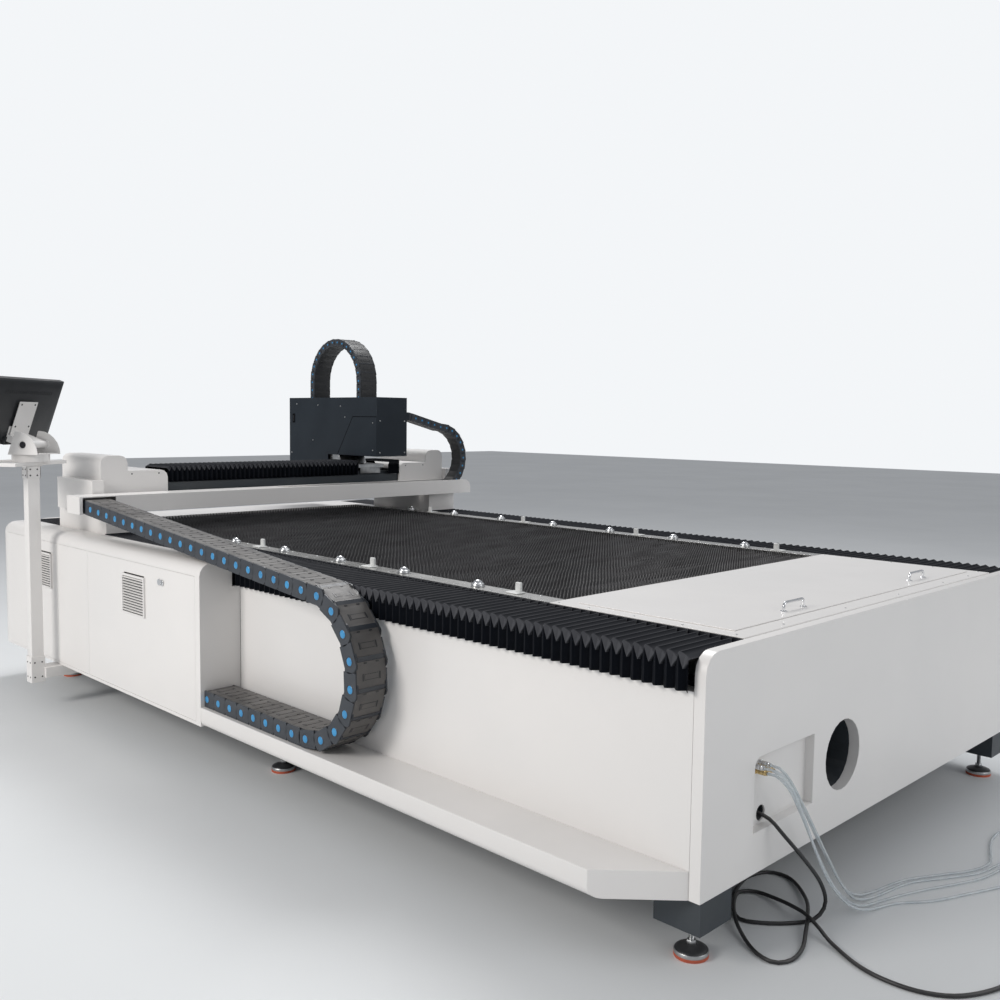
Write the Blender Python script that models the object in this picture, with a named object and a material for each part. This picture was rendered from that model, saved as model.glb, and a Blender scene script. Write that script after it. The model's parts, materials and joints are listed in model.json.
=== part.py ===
# Flat-bed fiber laser cutting machine with a moving gantry, in metres, +Z up.
# Places along the bed are distances from the rear end plate's outer face (u), so x = -u while
# modelling. y runs from the near side (drag chain, cabinet) to the far side. At the end the whole
# machine is moved so that its origin is the middle of its footprint, on the floor.

import math

import bmesh
import bpy
from mathutils import Matrix, Vector

# Overall sizes
length = 4.6            # rear end plate to front cover
width = 2.36            # near side panel to far side panel
top_z = 0.895           # top edge of the end plates
skirt_z = 0.21          # lower edge of the panels
panel_top = 0.787       # top of the side panels, under the bellows
gap = 0.0003            # between parts that touch
sheet = 0.003           # sheet metal
plate_t = 0.037         # thickness of the boxed end plates
corner_r = 0.06         # top corners of the end plates

# Welded bed
beam_top = 0.76
beam_w = 0.327          # width of each side beam
end_beam = 0.12
floor_t = 0.012
crosswall = 0.05
crosswall_top = 0.58
zones = 5               # suction zones under the slats
leg_size = 0.155
leg_z = 0.106
leg_inset = 0.10        # leg centre from the side panel
leg_places = (0.09, 2.164, 4.353)
rail_y = 0.10           # centre of the linear guide on each beam
rail_w = 0.034
rail_h = 0.03

# Levelling feet
foot_r = 0.05
stud_r = 0.008

# Chain ledge and cabinet
ledge_y = -0.19         # outer face of ledge and cabinet
ledge_top = 0.292
ledge_end = 0.236       # where its slanted rear end reaches full depth
ledge_round = 0.03
cabinet_u = 2.334
cabinet_round = 0.055
cabinet_corner = 0.08
bellows_room = -0.038   # inner edge of the cabinet's top
door_low = 0.226
door_high = 0.838
door_split = 3.433      # seam between the two doors
door_seam = 0.006
door_rear = (cabinet_u + 0.040, door_split - door_seam / 2)
door_front = (door_split + door_seam / 2, length - 0.108)
door_depth = 0.02
door_gap = 0.0008
vent_size = 0.20
vent_z = 0.69
vent_slots = 9
lock_in = 0.311         # from the door's free edge
lock_u = door_rear[0] + lock_in
lock_z = 0.777
lock_r = 0.014
cam_reach = 0.07        # latch cam, stored turned away from the frame
source_u = (door_rear[0] + 0.206, door_rear[1] - 0.17)
source_fins = 6

# Rear end openings
pocket_y = (0.262, 0.605)
pocket_z = (0.333, 0.552)
pocket_depth = 0.030
exhaust_y = 0.799
exhaust_z = 0.443
exhaust_r = 0.115
cable_hole = (0.350, 0.363)
cable_hole_r = 0.0235
fitting_ys = (0.284, 0.303, 0.322, 0.341)
fitting_zs = (0.523, 0.503, 0.523, 0.503)
fitting_r = 0.008
fitting_reach = 0.045

# Slat bed and rear cover
slats_from = 0.79
slats_to = 4.24
rail_in = 0.24          # outer edge of the steel support rails
rail_out = 0.32         # their inner edge
rail_t = 0.006
rail_top = 0.898
slat_pitch = 0.14
slat_t = 0.004
slat_low = 0.80
slat_tip = 0.900
slat_root = 0.872
slat_teeth = 5
comb_t = 0.008
comb_top = 0.855
ball_pitch = 0.42
ball_first = 1.165
ball_count = 7
ball_r = 0.023
stop_pitch = 0.83
stop_first = 0.98
stop_count = 4
stop_size = (0.03, 0.012, 0.045)
cover_u = (0.0375, 0.777)
hatch_u = (0.105, 0.700)
hatch_inset = 0.06
hatch_lap = 0.012
handle_u = 0.16
handle_ys = (0.74, 1.69)
handle_long = 0.15
handle_high = 0.032
handle_r = 0.005

# Bellows over the guides
bellows_pitch = 0.111
bellows_short_pitch = 0.03
bellows_wall = 0.012
bellows_fold = 0.022
bellows_in = 0.2397     # inner edge, beside the support rail
bellows_tip = -0.03

# Gantry
carriage_u = (3.60, 4.19)
carriage_y = (-0.02, 0.20)
carriage_z = 0.80
deck_z = 1.0            # top of the carriages, where the beam stands
beam_u = (3.72, 3.95)
beam_high = 1.14
beam_wall = 0.008
y_rail_w = 0.02
y_rail_h = 0.022
cover_side_u = (3.70, 4.19)
cover_top = 1.29
cover_step = 1.21
cover_step_y = 0.146
cover_in_y = 0.371
cover_round = 0.04
motor_box_y = -0.06
motor_box_u = (3.664, 4.11)
motor_box_z = (1.0, 1.165)
tray_u = (3.50, 3.65)
tray_z = (1.010, 1.098)
tray_y = (-0.195, 2.44)
tray_mouth = (-0.178, -0.010)
tray_mouth_deep = 0.026 # how far the floor is cut back there
beam_bellows_z = (1.142, 1.225)
beam_bellows_pitch = 0.09

# Drag chains
chain_y = (-0.172, -0.030)
chain_half = 0.035
chain_r = 0.275
chain_bend_u = 1.60
chain_slope = math.radians(5.0)
chain_bend_links = 9
chain_lower_links = 8
chain_upper_links = 21
y_chain_u = (3.535, 3.625)
y_chain_half = 0.024
y_chain_r = 0.205
y_chain_bend_y = width - 0.16
y_chain_start = 1.28
y_chain_arm = 0.03      # bracket on the hood that holds its moving end
y_chain_head_z = 1.515
z_chain_y = (width - 0.645, width - 0.515)
z_chain_half = 0.022
z_chain_u = (3.78, 4.29)
chain_wall = 0.008
chain_lid = 0.006
link_gap = 0.12         # half of the open share of each link
link_flare = 0.0025     # each link's side plates lap outside the next ones

# Cutting head
head_y = (width - 0.70, width - 0.46)
hood_u = (3.52, 4.48)
hood_top = 1.63
hood_low_rear = 1.262
hood_low_front = 1.05
hood_nose_u = 4.035
saddle_t = 0.022
nozzle_u = 4.26
nozzle_tip = 0.985
slide_t = 0.03          # lifting slide on the saddle's front

# Operator's stand
post_u = 3.82
post_y = -0.302
post_w = 0.06
post_top = 1.245
socket_z = (0.136, 0.27)
stand_yaw = math.radians(-53.13)
tray_board = (0.44, 0.22, 0.018)
tray_behind = 0.06      # how far it reaches behind the post
drum_r = 0.09
drum_h = 0.04
cheek_half = 0.10
cheek_t = 0.004
cheek_back = 0.06
cheek_high = 0.11
tilt_y = 0.020          # tilt shaft, from the post and above the drum
tilt_z = 0.045
tilt_r = 0.020
bracket_lean = math.radians(20.0)
vesa_w = 0.22
screen_size = (0.58, 0.345, 0.04)
screen_low = 0.003      # lower edge above the drum, before it leans back
screen_ahead = 0.105    # back of the screen, in front of the tilt shaft

# Cords: diameters, then where each one lies, as distance from the rear, y and height
cable_d = 0.012
coil_sides = 20
hose_d = 0.008
cable_coil = {"at": (-0.700, 0.700), "middle": 0.070, "wide": 0.038, "high": 0.0265}
hose_coil = {"at": (-0.455, 1.400), "middle": 0.045, "wide": 0.035, "high": 0.0350}
cable_route = [
    (0.1165, 0.350, 0.361), (0.034, 0.350, 0.360), (-0.005, 0.350, 0.350), (-0.045, 0.353, 0.318),
    (-0.085, 0.398, 0.248), (-0.088, 0.500, 0.146), (-0.082, 0.553, 0.065), (-0.070, 0.536, 0.021),
    (-0.044, 0.494, 0.0065), (0.016, 0.420, 0.0065), (0.092, 0.371, 0.0065), (0.140, 0.402, 0.0065),
    (0.190, 0.475, 0.0065), (0.217, 0.544, 0.0065), (0.236, 0.640, 0.0065), (0.206, 0.722, 0.0065),
    (0.129, 0.728, 0.007), (0.019, 0.624, 0.013), (-0.048, 0.510, 0.0195), (-0.085, 0.430, 0.014),
    (-0.118, 0.350, 0.0065), (-0.128, 0.270, 0.0065), (-0.094, 0.222, 0.0065),
    (-0.019, 0.243, 0.0075), (0.071, 0.314, 0.015), (0.130, 0.385, 0.0195), (0.173, 0.460, 0.019),
    (0.190, 0.520, 0.012), (0.159, 0.562, 0.0085), (0.090, 0.559, 0.012), (0.020, 0.530, 0.024),
    (-0.050, 0.495, 0.0325), (-0.105, 0.466, 0.024), (-0.163, 0.434, 0.010), (-0.267, 0.380, 0.0065),
    (-0.355, 0.362, 0.0065), (-0.448, 0.375, 0.0065), (-0.527, 0.430, 0.0065),
    (-0.583, 0.538, 0.0065), (-0.598, 0.640, 0.0065), (-0.604, 0.710, 0.0065),
    (-0.6083, 0.7247, 0.0065),
]
hose_routes = [
    [(-0.0153, 0.284, 0.523), (-0.050, 0.284, 0.523), (-0.088, 0.305, 0.485),
     (-0.100, 0.360, 0.390), (-0.105, 0.430, 0.270), (-0.112, 0.510, 0.150),
     (-0.125, 0.600, 0.060), (-0.145, 0.690, 0.014), (-0.182, 0.816, 0.0045),
     (-0.258, 0.921, 0.0045), (-0.320, 1.060, 0.0045), (-0.368, 1.172, 0.0045),
     (-0.393, 1.240, 0.0045), (-0.400, 1.310, 0.0045), (-0.3885, 1.388, 0.0045)],
    [(-0.0153, 0.303, 0.503), (-0.045, 0.303, 0.503), (-0.073, 0.325, 0.468),
     (-0.084, 0.385, 0.375), (-0.090, 0.455, 0.265), (-0.097, 0.535, 0.150),
     (-0.107, 0.620, 0.062), (-0.123, 0.705, 0.014), (-0.150, 0.820, 0.0045),
     (-0.200, 0.960, 0.0045), (-0.255, 1.080, 0.0045), (-0.305, 1.200, 0.0045),
     (-0.325, 1.310, 0.0045), (-0.345, 1.380, 0.0045), (-0.375, 1.420, 0.0045),
     (-0.4125, 1.4513, 0.0045)],
    [(-0.0153, 0.322, 0.523), (-0.038, 0.322, 0.523), (-0.058, 0.348, 0.490),
     (-0.068, 0.415, 0.400), (-0.072, 0.490, 0.300), (-0.078, 0.570, 0.190),
     (-0.086, 0.650, 0.085), (-0.098, 0.725, 0.020), (-0.120, 0.825, 0.0045),
     (-0.154, 0.993, 0.0045), (-0.222, 1.117, 0.0045), (-0.284, 1.237, 0.0045),
     (-0.308, 1.363, 0.0045), (-0.318, 1.420, 0.0045), (-0.350, 1.463, 0.0045),
     (-0.400, 1.475, 0.0045), (-0.440, 1.472, 0.0045), (-0.4667, 1.4670, 0.0045)],
    [(-0.0153, 0.341, 0.503), (-0.032, 0.341, 0.503), (-0.045, 0.368, 0.475),
     (-0.052, 0.435, 0.390), (-0.055, 0.515, 0.285), (-0.060, 0.595, 0.180),
     (-0.067, 0.670, 0.085), (-0.078, 0.745, 0.022), (-0.098, 0.840, 0.0045),
     (-0.133, 1.000, 0.0045), (-0.200, 1.128, 0.0045), (-0.262, 1.243, 0.0045),
     (-0.280, 1.345, 0.0045), (-0.245, 1.450, 0.0045), (-0.212, 1.560, 0.0045),
     (-0.208, 1.653, 0.0045), (-0.235, 1.720, 0.0045), (-0.300, 1.760, 0.0045),
     (-0.380, 1.745, 0.0045), (-0.450, 1.690, 0.0045), (-0.505, 1.600, 0.0045),
     (-0.528, 1.500, 0.0045), (-0.531, 1.440, 0.0045), (-0.5217, 1.3880, 0.0045)],
]

paints = {
    "white powder coat": ((0.80, 0.80, 0.80), 0.35, 0.0),
    "dark steel paint": ((0.030, 0.040, 0.050), 0.45, 0.0),
    "charcoal powder coat": ((0.045, 0.055, 0.062), 0.5, 0.0),
    "black bellows cloth": ((0.012, 0.012, 0.014), 0.6, 0.0),
    "chain plastic": ((0.075, 0.072, 0.070), 0.5, 0.0),
    "slat steel": ((0.10, 0.095, 0.09), 0.5, 0.7),
    "bright steel": ((0.55, 0.54, 0.52), 0.3, 1.0),
    "chrome": ((0.80, 0.80, 0.82), 0.1, 1.0),
    "brass": ((0.70, 0.55, 0.30), 0.3, 1.0),
    "black rubber": ((0.015, 0.015, 0.015), 0.5, 0.0),
    "clear hose": ((0.75, 0.80, 0.80), 0.2, 0.0),
    "black plastic": ((0.02, 0.022, 0.025), 0.4, 0.0),
    "zinc plate": ((0.50, 0.52, 0.53), 0.4, 0.9),
}


def paint(name):
    """The named finish as a material, made once."""
    if name in bpy.data.materials:
        return bpy.data.materials[name]
    color, roughness, metallic = paints[name]
    material = bpy.data.materials.new(name)
    material.use_nodes = True
    shader = material.node_tree.nodes["Principled BSDF"]
    shader.inputs["Base Color"].default_value = (*color, 1.0)
    shader.inputs["Roughness"].default_value = roughness
    shader.inputs["Metallic"].default_value = metallic
    return material


def make(name, bm, finish, smooth=False):
    """Turn a bmesh into a named object with one finish."""
    bmesh.ops.recalc_face_normals(bm, faces=bm.faces[:])
    mesh = bpy.data.meshes.new(name)
    bm.to_mesh(mesh)
    bm.free()
    mesh.materials.append(paint(finish))
    if smooth:
        mesh.shade_smooth()
        mesh.set_sharp_from_angle(angle=math.radians(35))
    piece = bpy.data.objects.new(name, mesh)
    bpy.context.scene.collection.objects.link(piece)
    return piece


def combine(piece, tool, operation="DIFFERENCE"):
    """Cut a hidden tool out of a piece, or weld it on."""
    modifier = piece.modifiers.new(operation.title(), "BOOLEAN")
    modifier.operation = operation
    modifier.solver = "EXACT"
    modifier.object = tool
    tool.hide_render = True
    tool.display_type = "WIRE"
    return piece


def add_box(bm, u, y, z):
    """A box between two distances from the rear, two y and two z."""
    made = bmesh.ops.create_cube(bm, size=1.0)["verts"]
    size = Vector((u[1] - u[0], y[1] - y[0], z[1] - z[0]))
    centre = Vector((-(u[0] + u[1]) / 2, (y[0] + y[1]) / 2, (z[0] + z[1]) / 2))
    bmesh.ops.scale(bm, verts=made, vec=size)
    bmesh.ops.translate(bm, verts=made, vec=centre)
    return made


def boxes(name, finish, *spans):
    bm = bmesh.new()
    for span in spans:
        add_box(bm, *span)
    return make(name, bm, finish)


def tool(*spans):
    return boxes("cutter", "dark steel paint", *spans)


def outline(corners, steps=4):
    """Points of an outline whose corners (a, b, radius) are rounded where a radius is given."""
    points = []
    count = len(corners)
    for k, (a, b, radius) in enumerate(corners):
        here = Vector((a, b))
        if not radius:
            points.append(here)
            continue
        back = (Vector(corners[k - 1][:2]) - here).normalized()
        ahead = (Vector(corners[(k + 1) % count][:2]) - here).normalized()
        half = back.angle(ahead) / 2
        centre = here + (back + ahead).normalized() * radius / math.sin(half)
        start = here + back * radius / math.tan(half) - centre
        turn = start.angle_signed(here + ahead * radius / math.tan(half) - centre)
        for step in range(steps + 1):
            points.append(centre + Matrix.Rotation(-turn * step / steps, 2) @ start)
    return points


def prism(name, finish, points, plane, low, high, smooth=False):
    """An outline drawn in a plane, extruded across it. Planes: 'yz' runs along u, 'uz' along y."""
    place = {
        "yz": lambda a, b, c: (-c, a, b),
        "uz": lambda a, b, c: (-a, c, b),
        "uy": lambda a, b, c: (-a, b, c),
    }[plane]
    bm = bmesh.new()
    loft(bm, [[place(a, b, c) for a, b in points] for c in (low, high)])
    return make(name, bm, finish, smooth)


def loft(bm, rings):
    """Skin a row of rings of equal count and close both ends."""
    rows = [[bm.verts.new(point) for point in ring] for ring in rings]
    count = len(rows[0])
    for a, b in zip(rows, rows[1:]):
        for k in range(count):
            bm.faces.new((a[k], a[(k + 1) % count], b[(k + 1) % count], b[k]))
    bm.faces.new(rows[0])
    bm.faces.new(rows[-1])


def add_rod(bm, start, end, radius, sides=12, end_radius=None):
    """A round bar, or a cone, between two points given as (u, y, z)."""
    a = Vector((-start[0], start[1], start[2]))
    b = Vector((-end[0], end[1], end[2]))
    turn = (b - a).to_track_quat("Z", "Y").to_matrix().to_4x4()
    bmesh.ops.create_cone(
        bm, cap_ends=True, segments=sides, radius1=radius,
        radius2=radius if end_radius is None else end_radius, depth=(b - a).length,
        matrix=Matrix.Translation((a + b) / 2) @ turn)


def rod(name, finish, start, end, radius, sides=12):
    bm = bmesh.new()
    add_rod(bm, start, end, radius, sides)
    return make(name, bm, finish, smooth=True)


def turned(name, finish, profile, u, y, sides=12):
    """A round piece about a vertical axis, from (radius, z) pairs, bottom to top."""
    bm = bmesh.new()
    rings = []
    for radius, z in profile:
        turns = [2 * math.pi * k / sides for k in range(sides)]
        rings.append([(-u + radius * math.cos(t), y + radius * math.sin(t), z) for t in turns])
    loft(bm, rings)
    return make(name, bm, finish, smooth=True)


def set_origin(piece, u, y, z):
    """Put a piece's origin on its joint's axis without moving its shape."""
    at = Vector((-u, y, z))
    piece.data.transform(Matrix.Translation(-at))
    piece.location = at


# Bed

def bed_frame():
    """Welded tub: side beams, crosswalls between the suction zones, guides and leg blocks."""
    ends = (plate_t + gap, length - plate_t - gap)
    sides = (sheet + gap, width - sheet - gap)
    frame = boxes("bed_frame", "dark steel paint", (ends, sides, (skirt_z, beam_top)))
    inner_u = (ends[0] + end_beam, ends[1] - end_beam)
    inner_y = (beam_w, width - beam_w)
    combine(frame, tool((inner_u, inner_y, (crosswall_top, beam_top + 0.1))))
    step = (inner_u[1] - inner_u[0] + crosswall) / zones
    pockets = []
    for k in range(zones):
        start = inner_u[0] + k * step
        pockets.append(((start, start + step - crosswall), inner_y,
                        (skirt_z + floor_t, crosswall_top + 0.02)))
    combine(frame, tool(*pockets))
    duct = bmesh.new()
    deep = inner_u[0] + 0.02
    add_rod(duct, (0, exhaust_y, exhaust_z), (deep, exhaust_y, exhaust_z), exhaust_r, 24)
    add_rod(duct, (0, *cable_hole), (deep - 0.06, *cable_hole), cable_hole_r, 12)
    combine(frame, make("cutter", duct, "dark steel paint"))
    weld = []
    for u in leg_places:
        for y in (leg_inset, width - leg_inset):
            half, neck = leg_size / 2, leg_size / 2 - 0.03
            weld.append(((u - half, u + half), (y - half, y + half), (leg_z, skirt_z - gap)))
            weld.append(((u - neck, u + neck), (y - neck, y + neck), (leg_z + 0.02, skirt_z + 0.002)))
    for y in (rail_y, width - rail_y):
        weld.append(((0.06, length - 0.06), (y - rail_w / 2, y + rail_w / 2),
                     (beam_top - 0.002, beam_top + rail_h)))
    combine(frame, tool(*weld), "UNION")
    frame.modifiers[-1].use_self = True
    return frame


def side_panel(name, face, inward):
    """Sheet side panel with a flange folded over the beam."""
    points = [(face, skirt_z), (face, panel_top), (face + inward * 0.05, panel_top),
              (face + inward * 0.05, panel_top - sheet), (face + inward * sheet, panel_top - sheet),
              (face + inward * sheet, skirt_z)]
    end = cabinet_u - gap if inward > 0 else length - plate_t - gap
    prism(name, "white powder coat", points, "yz", plate_t + gap, end)


def end_plate(name, near, far):
    """Boxed end plate with rounded top corners."""
    points = outline([(0, skirt_z, 0), (width, skirt_z, 0), (width, top_z, corner_r),
                      (0, top_z, corner_r)])
    return prism(name, "white powder coat", points, "yz", near, far)


def rear_end():
    """Rear end plate with its connection pocket and exhaust hole, and the air fittings."""
    plate = end_plate("rear_end_plate", 0, plate_t)
    (y0, y1), (z0, z1) = pocket_y, pocket_z
    pocket = outline([(y0, z0, 0), (y1, z0, 0), (y1, z1, 0), (y0, z1, 0.03)])
    combine(plate, prism("cutter", "white powder coat", pocket, "yz", -0.01, pocket_depth))
    bm = bmesh.new()
    add_rod(bm, (-0.01, exhaust_y, exhaust_z), (plate_t + 0.01, exhaust_y, exhaust_z),
            exhaust_r, 24)
    add_rod(bm, (0, *cable_hole), (plate_t + 0.01, *cable_hole), cable_hole_r, 16)
    combine(plate, make("cutter", bm, "white powder coat"))
    ys = (fitting_ys[0] - 0.010, fitting_ys[-1] + 0.010)
    zs = (min(fitting_zs) - 0.012, max(fitting_zs) + 0.012)
    fittings = boxes("air_fittings", "brass", ((pocket_depth - 0.016, pocket_depth - gap), ys, zs))
    bm = bmesh.new()
    for y, z in zip(fitting_ys, fitting_zs):
        add_rod(bm, (pocket_depth - 0.010, y, z), (pocket_depth - fitting_reach, y, z),
                fitting_r, 8)
    combine(fittings, make("cutter", bm, "brass"), "UNION")


def chain_ledge():
    """Shelf that the lower run of the long drag chain lies on."""
    points = [(plate_t + gap, -gap), (ledge_end, ledge_y), (cabinet_u - gap, ledge_y),
              (cabinet_u - gap, -gap)]
    ledge = prism("chain_ledge", "white powder coat", points, "uy", skirt_z, ledge_top)
    bm = bmesh.new()
    bm.from_mesh(ledge.data)
    low = [e for e in bm.edges
           if all(abs(v.co.z - skirt_z) < 1e-4 and abs(v.co.y - ledge_y) < 1e-4 for v in e.verts)]
    bmesh.ops.bevel(bm, geom=low, offset=ledge_round, segments=4, profile=0.5, affect="EDGES")
    bm.to_mesh(ledge.data)
    bm.free()


def cabinet_body(name, inset):
    """The cabinet's outer form, or the same form a wall's thickness inside it."""
    front = length - inset
    outer = ledge_y + inset
    back = -gap if inset == 0 else 0.02
    low, high = skirt_z + inset, top_z - inset
    corner = cabinet_corner - inset
    points = outline([(cabinet_u + inset, back, 0), (cabinet_u + inset, outer, 0),
                      (front, outer, corner), (front, back, 0)])
    body = prism(name, "white powder coat", points, "uy", low, high)
    bm = bmesh.new()
    bm.from_mesh(body.data)
    rim = [e for e in bm.edges if all(abs(v.co.z - high) < 1e-4 for v in e.verts)
           and not all(abs(v.co.y - back) < 1e-4 for v in e.verts)
           and not all(abs(v.co.x + cabinet_u + inset) < 1e-4 for v in e.verts)]
    bmesh.ops.bevel(bm, geom=rim, offset=cabinet_round - inset, segments=4, profile=0.5,
                    affect="EDGES", clamp_overlap=True)
    bm.to_mesh(body.data)
    bm.free()
    notch = ((cabinet_u - 0.1, length - plate_t), (bellows_room, 0.1),
             (panel_top - inset, top_z + 0.1))
    if inset:
        notch = ((cabinet_u - 0.1, length + 0.1), (bellows_room - inset, 0.1),
                 (panel_top - inset, top_z + 0.1))
    combine(body, tool(notch))
    return body


def door(name, span, vent_u):
    """Folded pan door with a louvred vent."""
    u0, u1 = span
    zs = (door_low, door_high)
    leaf = boxes(name, "white powder coat", ((u0, u1), (ledge_y, ledge_y + door_depth), zs))
    combine(leaf, tool(((u0 + sheet, u1 - sheet), (ledge_y + sheet, ledge_y + door_depth + 0.01),
                        (zs[0] + sheet, zs[1] - sheet))))
    slots = []
    step = vent_size / vent_slots
    for k in range(vent_slots):
        z = vent_z - vent_size / 2 + (k + 0.5) * step
        slots.append(((vent_u - vent_size / 2, vent_u + vent_size / 2), (ledge_y - 0.01, ledge_y + 0.01),
                      (z - step * 0.22, z + step * 0.22)))
    combine(leaf, tool(*slots))
    return leaf


def cabinet():
    shell = cabinet_body("cabinet_housing", 0)
    combine(shell, cabinet_body("cutter", sheet))
    openings = []
    for span in (door_rear, door_front):
        openings.append(((span[0] - door_gap, span[1] + door_gap), (ledge_y - 0.01, ledge_y + 0.01),
                         (door_low - door_gap, door_high + door_gap)))
    combine(shell, tool(*openings))
    rear = door("cabinet_door", door_rear, (door_rear[0] + door_rear[1]) / 2 + 0.03)
    door("service_panel", door_front, (door_front[0] + door_front[1]) / 2 + 0.02)
    combine(rear, rod("cutter", "chrome", (lock_u, ledge_y - 0.01, lock_z),
                      (lock_u, ledge_y + 0.01, lock_z), lock_r / math.cos(math.pi / 12) + gap, 12))
    lock = rod("door_lock", "chrome", (lock_u, ledge_y - 0.004, lock_z),
               (lock_u, ledge_y + 0.026, lock_z), lock_r, 12)
    combine(lock, tool(((lock_u - cam_reach, lock_u + 0.011),
                        (ledge_y + 0.022, ledge_y + 0.0255), (lock_z - 0.009, lock_z + 0.009))),
            "UNION")
    set_origin(lock, lock_u, ledge_y, lock_z)
    set_origin(rear, door_rear[1], ledge_y, door_low)
    fins = []
    fin_pitch = (source_u[1] - source_u[0] - 0.13) / (source_fins - 1)
    for k in range(source_fins):
        u = source_u[0] + 0.04 + fin_pitch * k
        fins.append(((u, u + 0.02), (ledge_y + 0.030, ledge_y + 0.055), (0.26, 0.70)))
    source = boxes("laser_source", "charcoal powder coat",
                   (source_u, (ledge_y + 0.040, -0.012), (skirt_z + sheet + gap, 0.74)))
    combine(source, tool(*fins))
    drives = [((3.56 + 0.16 * k, 3.68 + 0.16 * k), (ledge_y + 0.05, -0.004), (0.42, 0.66))
              for k in range(5)]
    panel = boxes("electrical_panel", "zinc plate",
                  ((3.50, 4.44), (-0.008, -0.004), (skirt_z + sheet + gap, 0.76)))
    combine(panel, tool(*drives), "UNION")


def levelling_foot(name, u, y):
    """Rubber pad, steel disc, nut and stud of a screw foot."""
    profile = [(foot_r, 0.0), (foot_r * 0.96, 0.020), (foot_r * 0.45, 0.038), (stud_r, 0.040),
               (stud_r, 0.078), (0.014, 0.0785), (0.014, leg_z - gap)]
    turned(name, "black rubber", profile, u, y, 8)


def rear_cover():
    """Sheet cover behind the slats, with skirts down to the bed and an opening under the hatch."""
    ys = (rail_in, width - rail_in)
    cover = boxes("rear_cover", "white powder coat", (cover_u, ys, (beam_top + gap, rail_top)))
    inside = ((cover_u[0] + sheet, cover_u[1] - sheet), (ys[0] + sheet, ys[1] - sheet))
    combine(cover, tool((*inside, (beam_top - 0.1, rail_top - sheet))))
    hole = ((hatch_u[0] + hatch_lap, hatch_u[1] - hatch_lap),
            (ys[0] + hatch_inset + hatch_lap, ys[1] - hatch_inset - hatch_lap))
    combine(cover, tool((*hole, (rail_top - 0.05, rail_top + 0.05))))
    hatch_y = (ys[0] + hatch_inset, ys[1] - hatch_inset)
    boxes("lift_out_hatch", "white powder coat",
          (hatch_u, hatch_y, (rail_top + gap, rail_top + gap + sheet)))
    base = rail_top + 2 * gap + sheet
    for name, y in zip(("hatch_handle_near", "hatch_handle_far"), handle_ys):
        grip = boxes(name, "chrome", ((handle_u - handle_r, handle_u + handle_r),
                                      (y - handle_long / 2, y + handle_long / 2),
                                      (base, base + handle_high)))
        combine(grip, tool(((handle_u - 0.02, handle_u + 0.02),
                            (y - handle_long / 2 + 0.012, y + handle_long / 2 - 0.012),
                            (base - 0.01, base + handle_high - 0.009))))
        rim = grip.modifiers.new("Bevel", "BEVEL")
        rim.width = 0.0025
        rim.segments = 1


def front_cover():
    """Boxed front end with the fixed plate in front of the slats."""
    cover = end_plate("front_cover", length - plate_t, length)
    start = slats_to + 0.012
    shelf = ((start, length - 0.02), (rail_in, width - rail_in), (beam_top + gap, rail_top))
    hollow = ((start + sheet, length - plate_t - 0.005), (rail_in + sheet, width - rail_in - sheet),
              (beam_top - 0.1, rail_top - sheet))
    combine(cover, tool(shelf), "UNION")
    combine(cover, tool(hollow))


def support_rail(name, edge, inward):
    """Steel angle beside the slats, with its ball transfers and stop blocks."""
    lip = edge + inward * (rail_out - rail_in)
    web = edge + inward * rail_t
    points = [(edge, beam_top + gap), (web, beam_top + gap), (web, rail_top - rail_t),
              (lip, rail_top - rail_t), (lip, rail_top), (edge, rail_top)]
    rail = prism(name, "bright steel", points, "yz", cover_u[1] + gap, slats_to + 0.010)
    mid = (edge + lip) / 2
    bm = bmesh.new()
    for k in range(ball_count):
        u = ball_first + ball_pitch * k
        add_rod(bm, (u, mid, rail_top - 0.003), (u, mid, rail_top + 0.018), ball_r, 8, 0.008)
    for k in range(stop_count):
        u = stop_first + stop_pitch * k
        y = lip - inward * 0.012
        add_box(bm, (u - stop_size[0] / 2, u + stop_size[0] / 2),
                sorted((y, y - inward * stop_size[1])), (rail_top - 0.003, rail_top + stop_size[2]))
    combine(rail, make("cutter", bm, "bright steel"), "UNION")
    rail.modifiers[-1].use_self = True


def slat_grid():
    """Saw-toothed slats on edge, held at both ends by a comb."""
    comb_y = rail_out + 0.0005
    far = width - comb_y
    bm = bmesh.new()
    count = int((slats_to - slats_from - 0.02) / slat_pitch) + 1
    tooth = (far - comb_y - 2 * comb_t) / slat_teeth
    edge = [(comb_y + comb_t / 2, slat_low), (far - comb_t / 2, slat_low),
            (far - comb_t / 2, slat_root)]
    for k in range(slat_teeth):
        y = far - comb_t - tooth * k
        edge += [(y - tooth * 0.5, slat_tip), (y - tooth, slat_root)]
    edge[-1] = (comb_y + comb_t / 2, slat_root)
    for k in range(count):
        u = slats_from + 0.01 + slat_pitch * k
        loft(bm, [[(-c, a, b) for a, b in edge] for c in (u, u + slat_t)])
    slats = make("slat_grid", bm, "slat steel")
    spans = [((slats_from, slats_to), (comb_y, comb_y + comb_t), (beam_top + gap, comb_top)),
             ((slats_from, slats_to), (far - comb_t, far), (beam_top + gap, comb_top))]
    combine(slats, tool(*spans), "UNION")


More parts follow.
